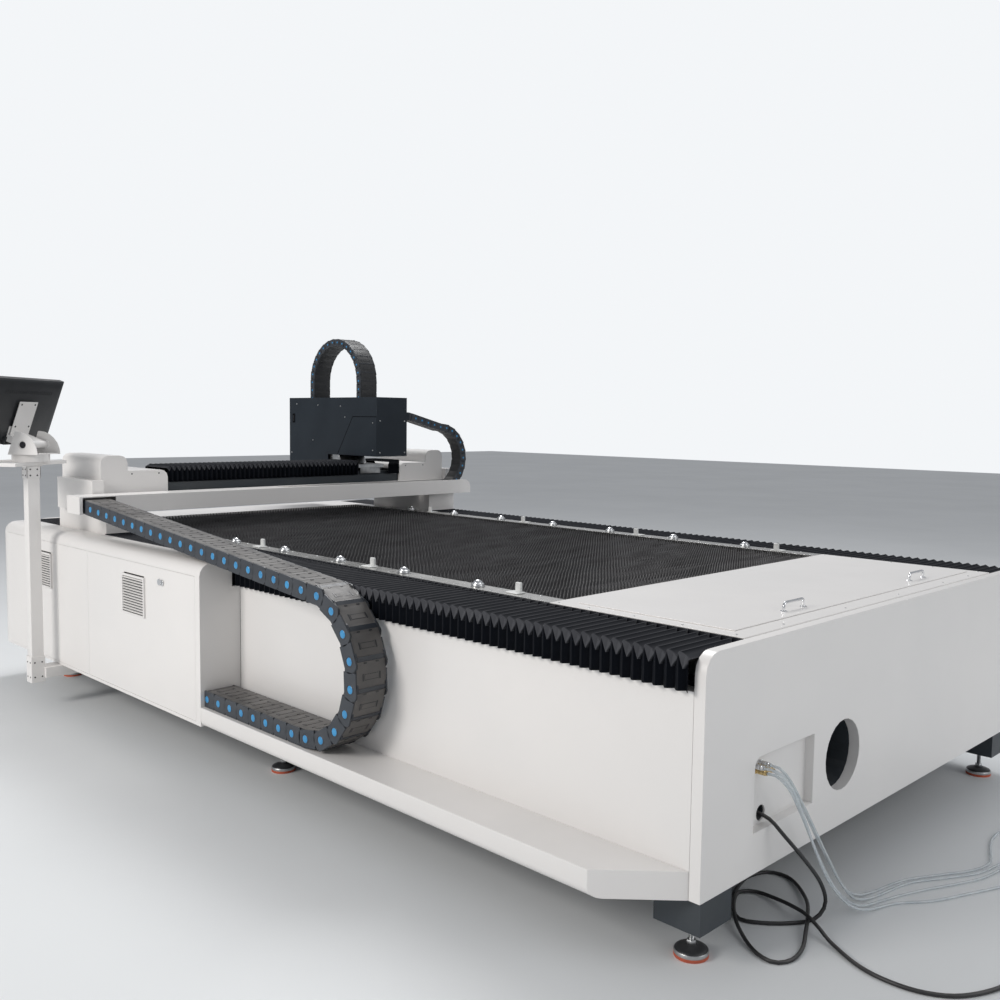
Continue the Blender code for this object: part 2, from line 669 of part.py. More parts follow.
def guide_bellows(name, start, end, pitch, mirror):
    """Pleated cover over one guide: a top and an outer side, folded in zigzag along the bed."""
    folds = max(2, round((end - start) / pitch))
    rings = []
    for k in range(2 * folds + 1):
        u = start + (end - start) * k / (2 * folds)
        sink = bellows_fold * (k % 2)
        tip = bellows_tip + sink
        top = top_z - sink
        wall = bellows_wall
        ring = [(bellows_in, top), (tip, top - 0.012), (tip, panel_top + 0.0008),
                (tip + wall, panel_top + 0.0008), (tip + wall, top - 0.012 - wall),
                (bellows_in, top - wall)]
        rings.append([(-u, width - y if mirror else y, z) for y, z in ring])
    bm = bmesh.new()
    loft(bm, rings)
    make(name, bm, "black bellows cloth")


# Drag chains

def drag_chain(name, pivots, half, across, place, starts=None, ends=None):
    """A ladder of links: side plates run through, lids and floors are open at each pivot."""
    side0, side1 = across
    stations = []
    for a, b in zip(pivots, pivots[1:]):
        along = b - a
        for share in (link_gap, 1 - link_gap):
            at, facing = a + along * share, along
            if a is pivots[0] and share == link_gap:
                at, facing = a, starts or along
            if b is pivots[-1] and share != link_gap:
                at, facing = b, ends or along
            normal = Vector((-facing.y, facing.x)).normalized()
            flare = link_flare if share == link_gap else 0.0
            outer = [(side0 + flare, half), (side1 - flare, half), (side1 - flare, -half),
                     (side0 + flare, -half)]
            inner = [(side0 + chain_wall, half - chain_lid), (side1 - chain_wall, half - chain_lid),
                     (side1 - chain_wall, chain_lid - half), (side0 + chain_wall, chain_lid - half)]
            stations.append([place(at + normal * n, side) for side, n in outer + inner])
    bm = bmesh.new()
    rows = [[bm.verts.new(point) for point in row] for row in stations]

    def face(*corners):
        bm.faces.new(corners)

    for row in (rows[0], rows[-1]):
        for k in range(4):
            j = (k + 1) % 4
            face(row[k], row[j], row[4 + j], row[4 + k])
    for index, (a, b) in enumerate(zip(rows, rows[1:])):
        if index % 2 == 0:
            for k in range(4):
                j = (k + 1) % 4
                face(a[k], a[j], b[j], b[k])
                face(a[4 + k], a[4 + j], b[4 + j], b[4 + k])
        else:
            for k, j in ((0, 1), (2, 3)):
                face(a[k], a[j], a[4 + j], a[4 + k])
                face(b[k], b[j], b[4 + j], b[4 + k])
            for top, low in ((0, 3), (1, 2)):
                face(a[top], a[low], b[low], b[top])
                face(a[4 + top], a[4 + low], b[4 + low], b[4 + top])
                face(a[top], a[4 + top], b[4 + top], b[top])
                face(a[low], a[4 + low], b[4 + low], b[low])
    return make(name, bm, "chain plastic")


def straight(start, end, count):
    a, b = Vector(start), Vector(end)
    return [a.lerp(b, k / count) for k in range(count + 1)]


def bend(centre, radius, first, last, count):
    """Pivots round a bend, from one angle to another."""
    points = []
    for k in range(count + 1):
        angle = first + (last - first) * k / count
        points.append(Vector(centre) + radius * Vector((math.cos(angle), math.sin(angle))))
    return points


def gantry_chain():
    """Long chain beside the bed: lower run on the ledge, moving bend, upper run to the gantry."""
    centre = (chain_bend_u, ledge_top + gap + chain_half + chain_r)
    arc = bend(centre, chain_r, -math.pi / 2, -math.pi * 1.5 + chain_slope, chain_bend_links)
    level = Vector((-1, 0))
    rise = Vector((math.cos(chain_slope), math.sin(chain_slope)))

    def place(point, side):
        return (-point.x, side, point.y)

    low_z = arc[0].y
    lower = straight((cabinet_u - gap, low_z), (chain_bend_u + gap, low_z), chain_lower_links)
    drag_chain("x_chain_lower_run", lower, chain_half, chain_y, place)
    drag_chain("x_chain_bend", arc, chain_half, chain_y, place, level, rise)
    end_z = tray_z[0] + sheet + gap + chain_half
    upper = straight(arc[-1] + rise * gap, (tray_u[0] + tray_mouth_deep - 0.006, end_z),
                     chain_upper_links)
    upper.append(Vector((tray_u[1] - sheet - gap, end_z)))
    drag_chain("x_chain_upper_run", upper, chain_half, chain_y, place, rise, -level)


def head_chain():
    """Chain in the gantry tray that follows the cutting head."""
    low_z = tray_z[0] + sheet + gap + y_chain_half
    centre = (y_chain_bend_y, low_z + y_chain_r)
    arc = bend(centre, y_chain_r, -math.pi / 2, math.pi / 2, 7)
    ahead = Vector((1, 0))

    def place(point, side):
        return (-side, point.x, point.y)

    lower = straight((y_chain_start, low_z), (y_chain_bend_y - gap, low_z), 10)
    upper = straight((y_chain_bend_y - gap, arc[-1].y),
                     (head_y[1] + y_chain_arm + gap, y_chain_head_z), 4)
    drag_chain("y_chain_lower_run", lower, y_chain_half, y_chain_u, place)
    drag_chain("y_chain_bend", arc, y_chain_half, y_chain_u, place, ahead, -ahead)
    drag_chain("y_chain_upper_run", upper, y_chain_half, y_chain_u, place, -ahead, -ahead)


def lift_chain():
    """Chain arched over the hood, from its top to the lifting slide."""
    u0, u1 = z_chain_u
    radius = (u1 - u0) / 2
    spring_z = 1.735
    path = straight((u0, hood_top + gap), (u0, spring_z), 2)
    path += bend(((u0 + u1) / 2, spring_z), radius, math.pi, 0, 9)[1:]
    path += straight((u1, spring_z), (u1, hood_top - 0.075), 3)[1:]

    def place(point, side):
        return (-point.x, side, point.y)

    drag_chain("z_chain", path, z_chain_half, z_chain_y, place)


# Gantry

def carriage(name, mirror):
    """Carriage on one guide: body, pinion motor and gearbox under the cover."""
    def ys(a, b):
        return (width - b, width - a) if mirror else (a, b)

    slot = (rail_y - rail_w / 2 - 0.002, rail_y + rail_w / 2 + 0.002)
    body = boxes(name, "white powder coat",
                 (carriage_u, ys(*carriage_y), (carriage_z, deck_z - gap)))
    low = beam_top + gap
    runners = [((u, u + 0.12), ys(rail_y - 0.035, rail_y + 0.035), (low, carriage_z + 0.01))
               for u in (carriage_u[0] + 0.03, carriage_u[1] - 0.15)]
    motor = [((beam_u[1] + 0.03, beam_u[1] + 0.15), ys(0.04, 0.16), (deck_z - 0.01, 1.20))]
    combine(body, tool(*runners, *motor), "UNION")
    combine(body, tool(((carriage_u[0] - 0.1, carriage_u[1] + 0.1), ys(*slot),
                        (beam_top - 0.1, beam_top + rail_h + 0.002))))
    return body


def carriage_cover(name, mirror):
    """Stepped sheet cover over a carriage, open below and round the beam."""
    def flip(points):
        return [(width - y, z) for y, z in points] if mirror else points

    def section(inset, low):
        return outline([(inset, low, 0), (inset, cover_top - inset, cover_round - inset),
                        (cover_step_y - inset, cover_top - inset, cover_round - inset),
                        (cover_step_y - inset, cover_step - inset, 0),
                        (cover_in_y - inset, cover_step - inset, cover_round),
                        (cover_in_y - inset, low, 0)], 3)

    u0, u1 = cover_side_u
    shell = prism(name, "white powder coat", flip(section(0, deck_z + gap)), "yz", u0, u1)
    combine(shell, prism("cutter", "white powder coat", flip(section(sheet, deck_z - 0.1)), "yz",
                         u0 + sheet, u1 - sheet))
    ys = (cover_in_y - 0.02, cover_in_y + 0.02)
    if mirror:
        ys = (width - ys[1], width - ys[0])
    combine(shell, tool(((beam_u[0] - 0.003, beam_u[1] + 0.003), ys, (deck_z - 0.1, 1.168))))
    y0 = motor_box_y
    hood = [((motor_box_u[0], motor_box_u[1]), (y0, 0.001), motor_box_z)]
    if mirror:
        hood = [(motor_box_u, (width - 0.001, width - y0), motor_box_z)]
    combine(shell, tool((hood[0][0], hood[0][1], (deck_z + gap, motor_box_z[1]))), "UNION")
    return shell


def gantry_beam():
    """Square steel tube with its two guides on top."""
    ys = (0.02, width - 0.02)
    beam = boxes("gantry_beam", "dark steel paint", (beam_u, ys, (deck_z, beam_high)))
    combine(beam, tool(((beam_u[0] + beam_wall, beam_u[1] - beam_wall), (ys[0] - 0.1, ys[1] + 0.1),
                        (deck_z + beam_wall, beam_high - beam_wall))))
    guides = [((u, u + y_rail_w), (cover_in_y - 0.1, width - cover_in_y + 0.1),
               (beam_high - 0.002, beam_high + y_rail_h))
              for u in (beam_u[0] + 0.03, beam_u[1] - 0.03 - y_rail_w)]
    combine(beam, tool(*guides), "UNION")


def chain_tray():
    """Channel behind the beam that the head's chain lies in; the long chain enters near its end."""
    (u0, u1), (y0, y1), (z0, z1) = tray_u, tray_y, tray_z
    points = outline([(y0, z0, 0), (y1, z0, 0), (y1, z1, 0.05), (y0, z1, 0)])
    tray = prism("chain_tray", "white powder coat", points, "yz", u0, u1)
    combine(tray, tool(((u0 + sheet, u1 - sheet), (y0 + sheet, y1 - sheet),
                        (z0 + sheet, z1 - sheet))))
    combine(tray, tool(((u0 + 0.018, u1 - 0.012), (1.0, y1 + 0.02), (z1 - 0.02, z1 + 0.02))))
    combine(tray, tool(((u0 - 0.02, u0 + tray_mouth_deep), tray_mouth, (z0 - 0.01, z1 - 0.006))))
    legs = [((u1 - 0.002, beam_u[0] - gap), (y, y + 0.08), (z0, z0 + 0.05))
            for y in (0.45, width / 2 - 0.04, width - 0.53)]
    combine(tray, tool(*legs), "UNION")


def beam_bellows(name, start, end):
    """Pleated cover over the beam's guides: a top and two sides."""
    folds = max(2, round((end - start) / beam_bellows_pitch))
    low, high = beam_bellows_z
    rings = []
    for k in range(2 * folds + 1):
        y = start + (end - start) * k / (2 * folds)
        sink = 0.016 * (k % 2)
        u0, u1 = beam_u[0] - 0.018 + sink, beam_u[1] + 0.018 - sink
        top, wall = high - sink, 0.010
        ring = [(u0, low), (u0, top), (u1, top), (u1, low), (u1 - wall, low),
                (u1 - wall, top - wall), (u0 + wall, top - wall), (u0 + wall, low)]
        rings.append([(-u, y, z) for u, z in ring])
    bm = bmesh.new()
    loft(bm, rings)
    make(name, bm, "black bellows cloth")


# Cutting head

def head():
    y0, y1 = head_y
    rail_top_z = beam_high + y_rail_h
    base = rail_top_z + 0.022
    saddle = outline([(beam_u[0] + 0.01, base, 0), (nozzle_u - 0.16, base, 0),
                      (nozzle_u - 0.16, 1.06, 0), (nozzle_u - 0.16 + saddle_t, 1.06, 0),
                      (nozzle_u - 0.16 + saddle_t, 1.56, 0), (beam_u[0] + 0.19, base + saddle_t, 0),
                      (beam_u[0] + 0.01, base + saddle_t, 0)])
    plate = prism("head_saddle", "zinc plate", saddle, "uz", y0 + 0.02, y1 - 0.02)
    blocks = []
    for u in (beam_u[0] + 0.03, beam_u[1] - 0.03 - y_rail_w):
        blocks.append(((u - 0.012, u + y_rail_w + 0.012), (y0 + 0.04, y1 - 0.04),
                       (beam_high + 0.006, base + 0.004)))
    ear = (nozzle_u - 0.16 + 0.001, nozzle_u - 0.16 + saddle_t - 0.001)
    for ys in ((y0 + sheet + gap, y0 + 0.022), (y1 - 0.022, y1 - sheet - gap)):
        blocks.append((ear, ys, (1.30, 1.45)))
    combine(plate, tool(*blocks), "UNION")
    slots = []
    for u in (beam_u[0] + 0.03, beam_u[1] - 0.03 - y_rail_w):
        slots.append(((u - 0.0006, u + y_rail_w + 0.0006), (y0, y1),
                      (beam_high, rail_top_z + 0.0006)))
    combine(plate, tool(*slots))
    u0, u1 = hood_u

    def hood_section(inset, low):
        return outline([(u0 + inset, hood_low_rear - low, 0), (u0 + inset, hood_top - inset, 0),
                        (u1 - inset, hood_top - inset, 0), (u1 - inset, hood_low_front - low, 0),
                        (hood_nose_u + inset, hood_low_front - low, 0),
                        (hood_nose_u + inset, hood_low_rear - low, 0)])

    hood = prism("head_cover", "charcoal powder coat", hood_section(0, 0), "uz", y0, y1)
    combine(hood, prism("cutter", "charcoal powder coat", hood_section(sheet, 0.03), "uz",
                        y0 + sheet, y1 - sheet))
    (c0, c1), leg = z_chain_y, z_chain_u[1]
    combine(hood, tool(((leg - z_chain_half - 0.008, leg + z_chain_half + 0.008),
                        (c0 - 0.008, c1 + 0.008), (hood_top - 0.02, hood_top + 0.02))))
    combine(hood, tool(((hood_nose_u - 0.02, hood_nose_u + 0.02), (y0 + 0.015, y1 - 0.015),
                        (hood_low_front - 0.02, hood_low_rear + 0.001))))
    arm = ((y_chain_u[0] - 0.004, y_chain_u[1] + 0.004), (y1 - 0.001, y1 + y_chain_arm),
           (y_chain_head_z - y_chain_half, y_chain_head_z + y_chain_half))
    combine(hood, tool(arm), "UNION")


def cutting_head():
    """Lifting slide, and the head with its collimator, sensor and nozzle."""
    back = nozzle_u - 0.16 + saddle_t + 0.0005
    mid = (head_y[0] + head_y[1]) / 2
    front = back + slide_t
    bm = bmesh.new()
    add_box(bm, (back, front), (mid - 0.07, mid + 0.07), (1.10, hood_top - 0.0755))
    add_box(bm, (front - 0.002, z_chain_u[1] + z_chain_half), (mid - 0.05, mid + 0.05),
            (hood_top - 0.095, hood_top - 0.0753))
    add_box(bm, (front - 0.003, nozzle_u + 0.045), (mid - 0.045, mid + 0.045), (1.26, 1.44))
    add_box(bm, (nozzle_u - 0.034, nozzle_u + 0.034), (mid - 0.034, mid + 0.034), (1.13, 1.27))
    add_rod(bm, (nozzle_u, mid, 1.06), (nozzle_u, mid, 1.14), 0.024, 12)
    add_rod(bm, (nozzle_u, mid, 1.065), (nozzle_u, mid, nozzle_tip), 0.018, 12, 0.004)
    add_rod(bm, (nozzle_u, mid, 1.43), (nozzle_u, mid, 1.50), 0.018, 12)
    head = boxes("cutting_head", "bright steel",
                 ((front - 0.004, nozzle_u), (mid - 0.02, mid + 0.02), (1.30, 1.40)))
    combine(head, make("cutter", bm, "bright steel"), "UNION")
    head.modifiers[-1].use_self = True


# Operator's stand

def stand():
    half = post_w / 2
    us = (post_u - half, post_u + half)
    ys = (post_y - half, post_y + half)
    z0, z1 = socket_z
    post = boxes("stand_post", "white powder coat", (us, ys, (z0 + 0.004 + gap, post_top)))
    combine(post, tool(((us[0] - 0.012, us[1] + 0.012), (ys[0] - 0.012, ys[1] + 0.012),
                        (post_top - 0.006, post_top))), "UNION")
    wall = 0.004
    socket = boxes("stand_socket", "white powder coat",
                   ((us[0] - wall - gap, us[1] + wall + gap),
                    (ys[0] - wall - gap, ys[1] + wall + gap), (z0, z1)),)
    combine(socket, tool(((us[0] - 0.02, us[1] + 0.02), (ys[1] + 0.001, -0.03),
                          (z0 + 0.02, skirt_z - gap))), "UNION")
    combine(socket, tool(((us[0] - gap, us[1] + gap), (ys[0] - gap, ys[1] + gap),
                          (z0 + wall, z1 + 0.1))))


def on_post(piece, y=0.0, z=0.0):
    """Turn a piece to the operator; its own origin lies at (0, y, z) from the foot of the post."""
    turn = Matrix.Rotation(stand_yaw, 4, "Z")
    piece.location = Vector((-post_u, post_y, 0)) + turn @ Vector((0, y, z))
    piece.rotation_euler = (0, 0, stand_yaw)
    return piece


def plain_box(bm, x, y, z):
    add_box(bm, (-x[1], -x[0]), y, z)


def stand_top(name, bm):
    return on_post(make(name, bm, "white powder coat"))


def keyboard_tray():
    wide, deep, thick = tray_board
    base = post_top + gap
    bm = bmesh.new()
    plain_box(bm, (-wide / 2, wide / 2), (-deep, tray_behind), (base, base + thick))
    board = stand_top("keyboard_tray", bm)
    bm = bmesh.new()
    plain_box(bm, (-wide / 2 + sheet, wide / 2 - sheet), (-deep + sheet, -drum_r * 0.62),
              (base + sheet, base + thick + 0.01))
    combine(board, stand_top("cutter", bm))


def screen_bracket():
    """Swivelling drum with two quarter-round cheeks that carry the screen's tilt shaft."""
    base = post_top + tray_board[2] + 2 * gap
    floor = base + drum_h
    bm = bmesh.new()
    add_rod(bm, (0, 0, base), (0, 0, floor), drum_r, 16)
    bracket = stand_top("screen_bracket", bm)
    back = cheek_back
    cheek = [(-back, floor - 0.004), (-back + cheek_high * math.tan(bracket_lean), floor + cheek_high)]
    for k in range(7):
        angle = math.pi / 2 * (1 - k / 6)
        cheek.append((-0.015 + 0.115 * math.cos(angle), floor - 0.004 + 0.116 * math.sin(angle)))
    bm = bmesh.new()
    for side in (-cheek_half, cheek_half - cheek_t):
        loft(bm, [[(x, a, b) for a, b in cheek] for x in (side, side + cheek_t)])
    plain_box(bm, (-cheek_half + 0.001, cheek_half - 0.001), (-back + 0.002, 0.09),
              (floor - 0.003, floor + 0.001))
    combine(bracket, stand_top("cutter", bm), "UNION")
    bracket.modifiers[-1].use_self = True
    bm = bmesh.new()
    add_rod(bm, (-cheek_half - 0.02, tilt_y, floor + tilt_z),
            (cheek_half + 0.02, tilt_y, floor + tilt_z), tilt_r / math.cos(math.pi / 12) + gap, 12)
    combine(bracket, stand_top("cutter", bm))


def monitor():
    """Screen on its back plate, hung on a shaft between the cheeks."""
    pivot = post_top + tray_board[2] + 2 * gap + drum_h + tilt_z
    lean = Matrix.Rotation(-bracket_lean, 4, "X")
    wide, tall, thick = screen_size
    low = screen_low - tilt_z
    bm = bmesh.new()
    plain_box(bm, (-wide / 2, wide / 2), (-screen_ahead - thick, -screen_ahead), (low, low + tall))
    plain_box(bm, (-vesa_w / 2, vesa_w / 2), (-screen_ahead - 0.001, -screen_ahead + 0.004),
              (low + 0.05, low + 0.05 + vesa_w))
    for side in (-1, 1):
        x = side * (cheek_half - cheek_t - 0.012)
        plain_box(bm, (x - 0.002, x + 0.002), (-screen_ahead + 0.003, tilt_r * 0.8),
                  (-tilt_r * 0.8, tilt_r * 0.8))
    shaft = bmesh.new()
    add_rod(shaft, (-cheek_half - 0.004, 0, 0), (cheek_half + 0.004, 0, 0), tilt_r, 12)
    bmesh.ops.transform(bm, matrix=lean, verts=bm.verts[:])
    whole = on_post(make("monitor", shaft, "black plastic"), tilt_y, pivot)
    combine(whole, on_post(make("cutter", bm, "black plastic"), tilt_y, pivot), "UNION")
    whole.modifiers[-1].use_self = True


# Cords

def smooth_route(points, count):
    """Points evenly spaced along a smooth curve through the route's own points."""
    ends = [points[0] * 2 - points[1], *points, points[-1] * 2 - points[-2]]
    fine = []
    for k in range(1, len(ends) - 2):
        a, b, c, d = ends[k - 1:k + 3]
        for step in range(24):
            t = step / 24
            fine.append(0.5 * ((2 * b) + (c - a) * t + (2 * a - 5 * b + 4 * c - d) * t ** 2
                               + (3 * b - a - 3 * c + d) * t ** 3))
    fine.append(points[-1])
    reach = [0.0]
    for a, b in zip(fine, fine[1:]):
        reach.append(reach[-1] + (b - a).length)
    even = []
    k = 0
    for step in range(count):
        want = reach[-1] * step / (count - 1)
        while k < len(fine) - 2 and reach[k + 1] < want:
            k += 1
        share = (want - reach[k]) / max(reach[k + 1] - reach[k], 1e-9)
        even.append(fine[k].lerp(fine[k + 1], share))
    return even


def cord(name, finish, route, diameter, count):
    """A tube along a route given as (u, y, z)."""
    path = [Vector((-u, y, z)) for u, y, z in route]
    points = smooth_route(path, count)
    points.insert(1, path[0] + (path[1] - path[0]).normalized() * diameter)
    points.insert(-1, path[-1] + (path[-2] - path[-1]).normalized() * diameter)
    curve = bpy.data.curves.new(name, "CURVE")
    curve.dimensions = "3D"
    curve.bevel_depth = diameter / 2
    curve.bevel_resolution = 2
    curve.use_fill_caps = True
    line = curve.splines.new("POLY")
    line.points.add(len(points) - 1)
    for slot, point in zip(line.points, points):
        slot.co = (point.x, point.y, max(point.z, diameter / 2 + gap), 1.0)
    curve.materials.append(paint(finish))
    piece = bpy.data.objects.new(name, curve)
    bpy.context.scene.collection.objects.link(piece)
    return piece


def coil_ring(name, finish, coil):
    """The outer shape of a coil that lies on the floor."""
    u, y = coil["at"]
    inner, outer = coil["middle"] - coil["wide"] / 2, coil["middle"] + coil["wide"] / 2
    profile = [(inner, gap), (outer, gap), (outer, coil["high"]), (inner, coil["high"])]
    bm = bmesh.new()
    rows = []
    for k in range(coil_sides):
        turn = 2 * math.pi * k / coil_sides
        rows.append([bm.verts.new((-u + r * math.cos(turn), y + r * math.sin(turn), z))
                     for r, z in profile])
    for a, b in zip(rows, rows[1:] + rows[:1]):
        for k in range(4):
            bm.faces.new((a[k], a[(k + 1) % 4], b[(k + 1) % 4], b[k]))
    return make(name, bm, finish, smooth=True)


def cords():
    """Power cable and four air hoses, each with its spare length coiled on the floor."""
    made = [cord("power_cable", "black rubber", cable_route, cable_d, 60),
            coil_ring("power_cable_coil", "black rubber", cable_coil)]
    for k, route in enumerate(hose_routes):
        made.append(cord(f"air_hose_{k + 1}", "clear hose", route, hose_d, 20))
    made.append(coil_ring("air_hose_coil", "clear hose", hose_coil))
    return [piece.name for piece in made]


def centre_on_floor(free):
    """Move everything so that the origin is the middle of the footprint, without the cords."""
    bpy.context.view_layer.update()
    graph = bpy.context.evaluated_depsgraph_get()
    low, high = [1e9, 1e9], [-1e9, -1e9]
    for piece in bpy.context.scene.objects:
        if piece.hide_render or piece.type != "MESH" or piece.name in free:
            continue
        shown = piece.evaluated_get(graph)
        mesh = shown.to_mesh()
        for vertex in mesh.vertices:
            at = shown.matrix_world @ vertex.co
            for axis in range(2):
                low[axis] = min(low[axis], at[axis])
                high[axis] = max(high[axis], at[axis])
        shown.to_mesh_clear()
    shift = Vector((-(low[0] + high[0]) / 2, -(low[1] + high[1]) / 2, 0))
    for piece in bpy.context.scene.objects:
        piece.location += shift
    return shift


def build():
    for piece in list(bpy.data.objects):
        bpy.data.objects.remove(piece)
    bed_frame()
    side_panel("near_side_panel", 0.0, 1)
    side_panel("far_side_panel", width, -1)
    rear_end()
    chain_ledge()
    cabinet()
    for row, y in (("near", leg_inset), ("far", width - leg_inset)):
        for spot, u in zip(("rear", "middle", "front"), leg_places):
            levelling_foot(f"foot_{row}_{spot}", u, y)
    rear_cover()
    front_cover()
    support_rail("near_support_rail", rail_in, 1)
    support_rail("far_support_rail", width - rail_in, -1)
    slat_grid()
    for side, mirror in (("near", False), ("far", True)):
        guide_bellows(f"{side}_rear_bellows", plate_t + gap, carriage_u[0] - gap,
                      bellows_pitch, mirror)
        guide_bellows(f"{side}_front_bellows", carriage_u[1] + gap, length - plate_t - gap,
                      bellows_short_pitch, mirror)
        carriage(f"{side}_carriage", mirror)
        carriage_cover(f"{side}_carriage_cover", mirror)
    gantry_beam()
    chain_tray()
    beam_bellows("near_beam_bellows", cover_in_y + gap, head_y[0] - 0.005)
    beam_bellows("far_beam_bellows", head_y[1] + 0.005, width - cover_in_y - gap)
    gantry_chain()
    head_chain()
    lift_chain()
    head()
    cutting_head()
    stand()
    keyboard_tray()
    screen_bracket()
    monitor()
    centre_on_floor(cords())


build()
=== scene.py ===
import json
import math
import random

import bmesh
import bpy
from mathutils import Matrix, Vector
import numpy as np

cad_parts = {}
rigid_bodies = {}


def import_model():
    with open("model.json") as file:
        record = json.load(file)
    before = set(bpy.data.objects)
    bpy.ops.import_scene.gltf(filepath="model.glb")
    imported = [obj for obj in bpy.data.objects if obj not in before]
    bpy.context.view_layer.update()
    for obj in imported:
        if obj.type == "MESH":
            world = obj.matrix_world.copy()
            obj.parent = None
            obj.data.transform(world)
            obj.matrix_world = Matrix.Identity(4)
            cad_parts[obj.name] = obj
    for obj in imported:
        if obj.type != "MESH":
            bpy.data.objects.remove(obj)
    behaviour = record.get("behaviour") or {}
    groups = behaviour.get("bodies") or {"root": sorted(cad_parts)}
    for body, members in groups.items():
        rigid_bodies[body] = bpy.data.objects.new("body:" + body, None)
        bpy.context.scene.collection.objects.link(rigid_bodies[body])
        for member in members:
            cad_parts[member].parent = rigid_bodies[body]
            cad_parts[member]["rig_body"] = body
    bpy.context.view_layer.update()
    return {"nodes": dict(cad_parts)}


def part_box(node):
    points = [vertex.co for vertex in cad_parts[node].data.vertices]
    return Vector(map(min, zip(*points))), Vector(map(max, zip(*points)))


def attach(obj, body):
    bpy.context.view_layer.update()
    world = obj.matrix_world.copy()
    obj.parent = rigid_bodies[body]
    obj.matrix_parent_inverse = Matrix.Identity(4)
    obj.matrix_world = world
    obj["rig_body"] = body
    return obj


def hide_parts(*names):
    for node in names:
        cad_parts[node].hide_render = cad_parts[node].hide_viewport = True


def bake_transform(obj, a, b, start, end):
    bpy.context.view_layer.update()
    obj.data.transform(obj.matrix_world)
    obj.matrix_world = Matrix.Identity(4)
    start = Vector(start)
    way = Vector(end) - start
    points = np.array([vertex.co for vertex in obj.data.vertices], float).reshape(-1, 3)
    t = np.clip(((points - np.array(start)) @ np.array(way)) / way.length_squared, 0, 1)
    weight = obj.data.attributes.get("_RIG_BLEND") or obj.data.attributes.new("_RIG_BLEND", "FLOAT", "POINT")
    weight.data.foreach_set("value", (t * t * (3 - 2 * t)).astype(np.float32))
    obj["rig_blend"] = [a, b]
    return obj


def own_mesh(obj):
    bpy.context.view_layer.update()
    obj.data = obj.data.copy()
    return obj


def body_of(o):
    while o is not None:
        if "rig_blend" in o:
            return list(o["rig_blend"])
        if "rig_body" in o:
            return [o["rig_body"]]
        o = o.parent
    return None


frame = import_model()
scene = bpy.context.scene

# Places are given as on the machine: u runs from the rear end plate's outer face towards
# the front, y from the near side panel to the far one, z is the height.
plateLow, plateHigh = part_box("rear_end_plate")
width = plateHigh.y - plateLow.y
upright = Vector((0, 0, 1))


def at(u, y, z):
    return Vector((plateHigh.x - u, plateLow.y + y, z))


# Camera, light and floor

cameraSpot = {"place": (3.7657, -3.1639, 1.5064), "yaw": 45.0032, "pitch": 4.5749,
              "roll": 0.693, "lens": 36.6, "sensor": 36, "reach": 200}


def makeCamera():
    spec = cameraSpot
    yaw, pitch, roll = (math.radians(spec[k]) for k in ("yaw", "pitch", "roll"))
    ahead = Vector((-math.cos(yaw) * math.cos(pitch), math.sin(yaw) * math.cos(pitch), -math.sin(pitch)))
    right = ahead.cross(upright).normalized()
    up = right.cross(ahead)
    side = right * math.cos(roll) + up * math.sin(roll)
    top = up * math.cos(roll) - right * math.sin(roll)
    data = bpy.data.cameras.new("camera")
    data.lens = spec["lens"]
    data.sensor_width = spec["sensor"]
    data.clip_end = spec["reach"]
    camera = bpy.data.objects.new("camera", data)
    turn = Matrix((side, top, -ahead)).transposed().to_4x4()
    camera.matrix_world = Matrix.Translation(spec["place"]) @ turn
    scene.collection.objects.link(camera)
    scene.camera = camera


lampPlan = {
    # name: place, aim, size, power, colour
    "key": ((-0.5, -7.5, 4.2), (-0.3, -0.6, 0.5), 2.6, 300, (1.0, 0.965, 0.93)),
    "fill": ((7.5, 1.5, 3.5), (1.5, 0.3, 0.4), 4.0, 88, (1.0, 1.0, 1.0)),
    "top": ((-2.5, 2.5, 6.5), (-0.3, 0.0, 0.6), 2.8, 270, (1.0, 1.0, 1.0)),
}
hall = {"light": (0.94, 0.96, 1.0), "strength": 0.42, "seen": (0.90, 0.92, 0.94), "floor": 30}


def makeLight():
    for name, (place, aim, size, power, color) in lampPlan.items():
        data = bpy.data.lights.new(name, "AREA")
        data.size = size
        data.energy = power
        data.color = color
        lamp = bpy.data.objects.new(name, data)
        lamp.location = place
        lamp.rotation_euler = (Vector(aim) - Vector(place)).to_track_quat("-Z", "Y").to_euler()
        scene.collection.objects.link(lamp)
    world = bpy.data.worlds.new("hall")
    scene.world = world
    world.use_nodes = True
    tree = world.node_tree
    sky = tree.nodes["Background"]
    connect(tree, hall["light"], sky.inputs["Color"])
    connect(tree, hall["strength"], sky.inputs["Strength"])
    plain = addNode(tree, "Background", {"Color": hall["seen"]})
    direct = addNode(tree, "LightPath").outputs["Is Camera Ray"]
    mix = addNode(tree, "MixShader", {0: direct, 1: sky.outputs[0], 2: plain.outputs[0]})
    connect(tree, mix.outputs[0], tree.nodes["World Output"].inputs[0])
    scene.view_settings.view_transform = "Standard"


def makeFloor():
    bm = bmesh.new()
    bmesh.ops.create_grid(bm, x_segments=2, y_segments=2, size=hall["floor"])
    mesh = bpy.data.meshes.new("floor")
    bm.to_mesh(mesh)
    bm.free()
    mesh.materials.append(finish("floorPaint"))
    floor = bpy.data.objects.new("floor", mesh)
    scene.collection.objects.link(floor)


# Shader nodes

def connect(tree, value, socket):
    if isinstance(value, bpy.types.NodeSocket):
        tree.links.new(value, socket)
    elif isinstance(value, tuple) and len(value) == 3 and socket.type == "RGBA":
        socket.default_value = (*value, 1)
    else:
        socket.default_value = value


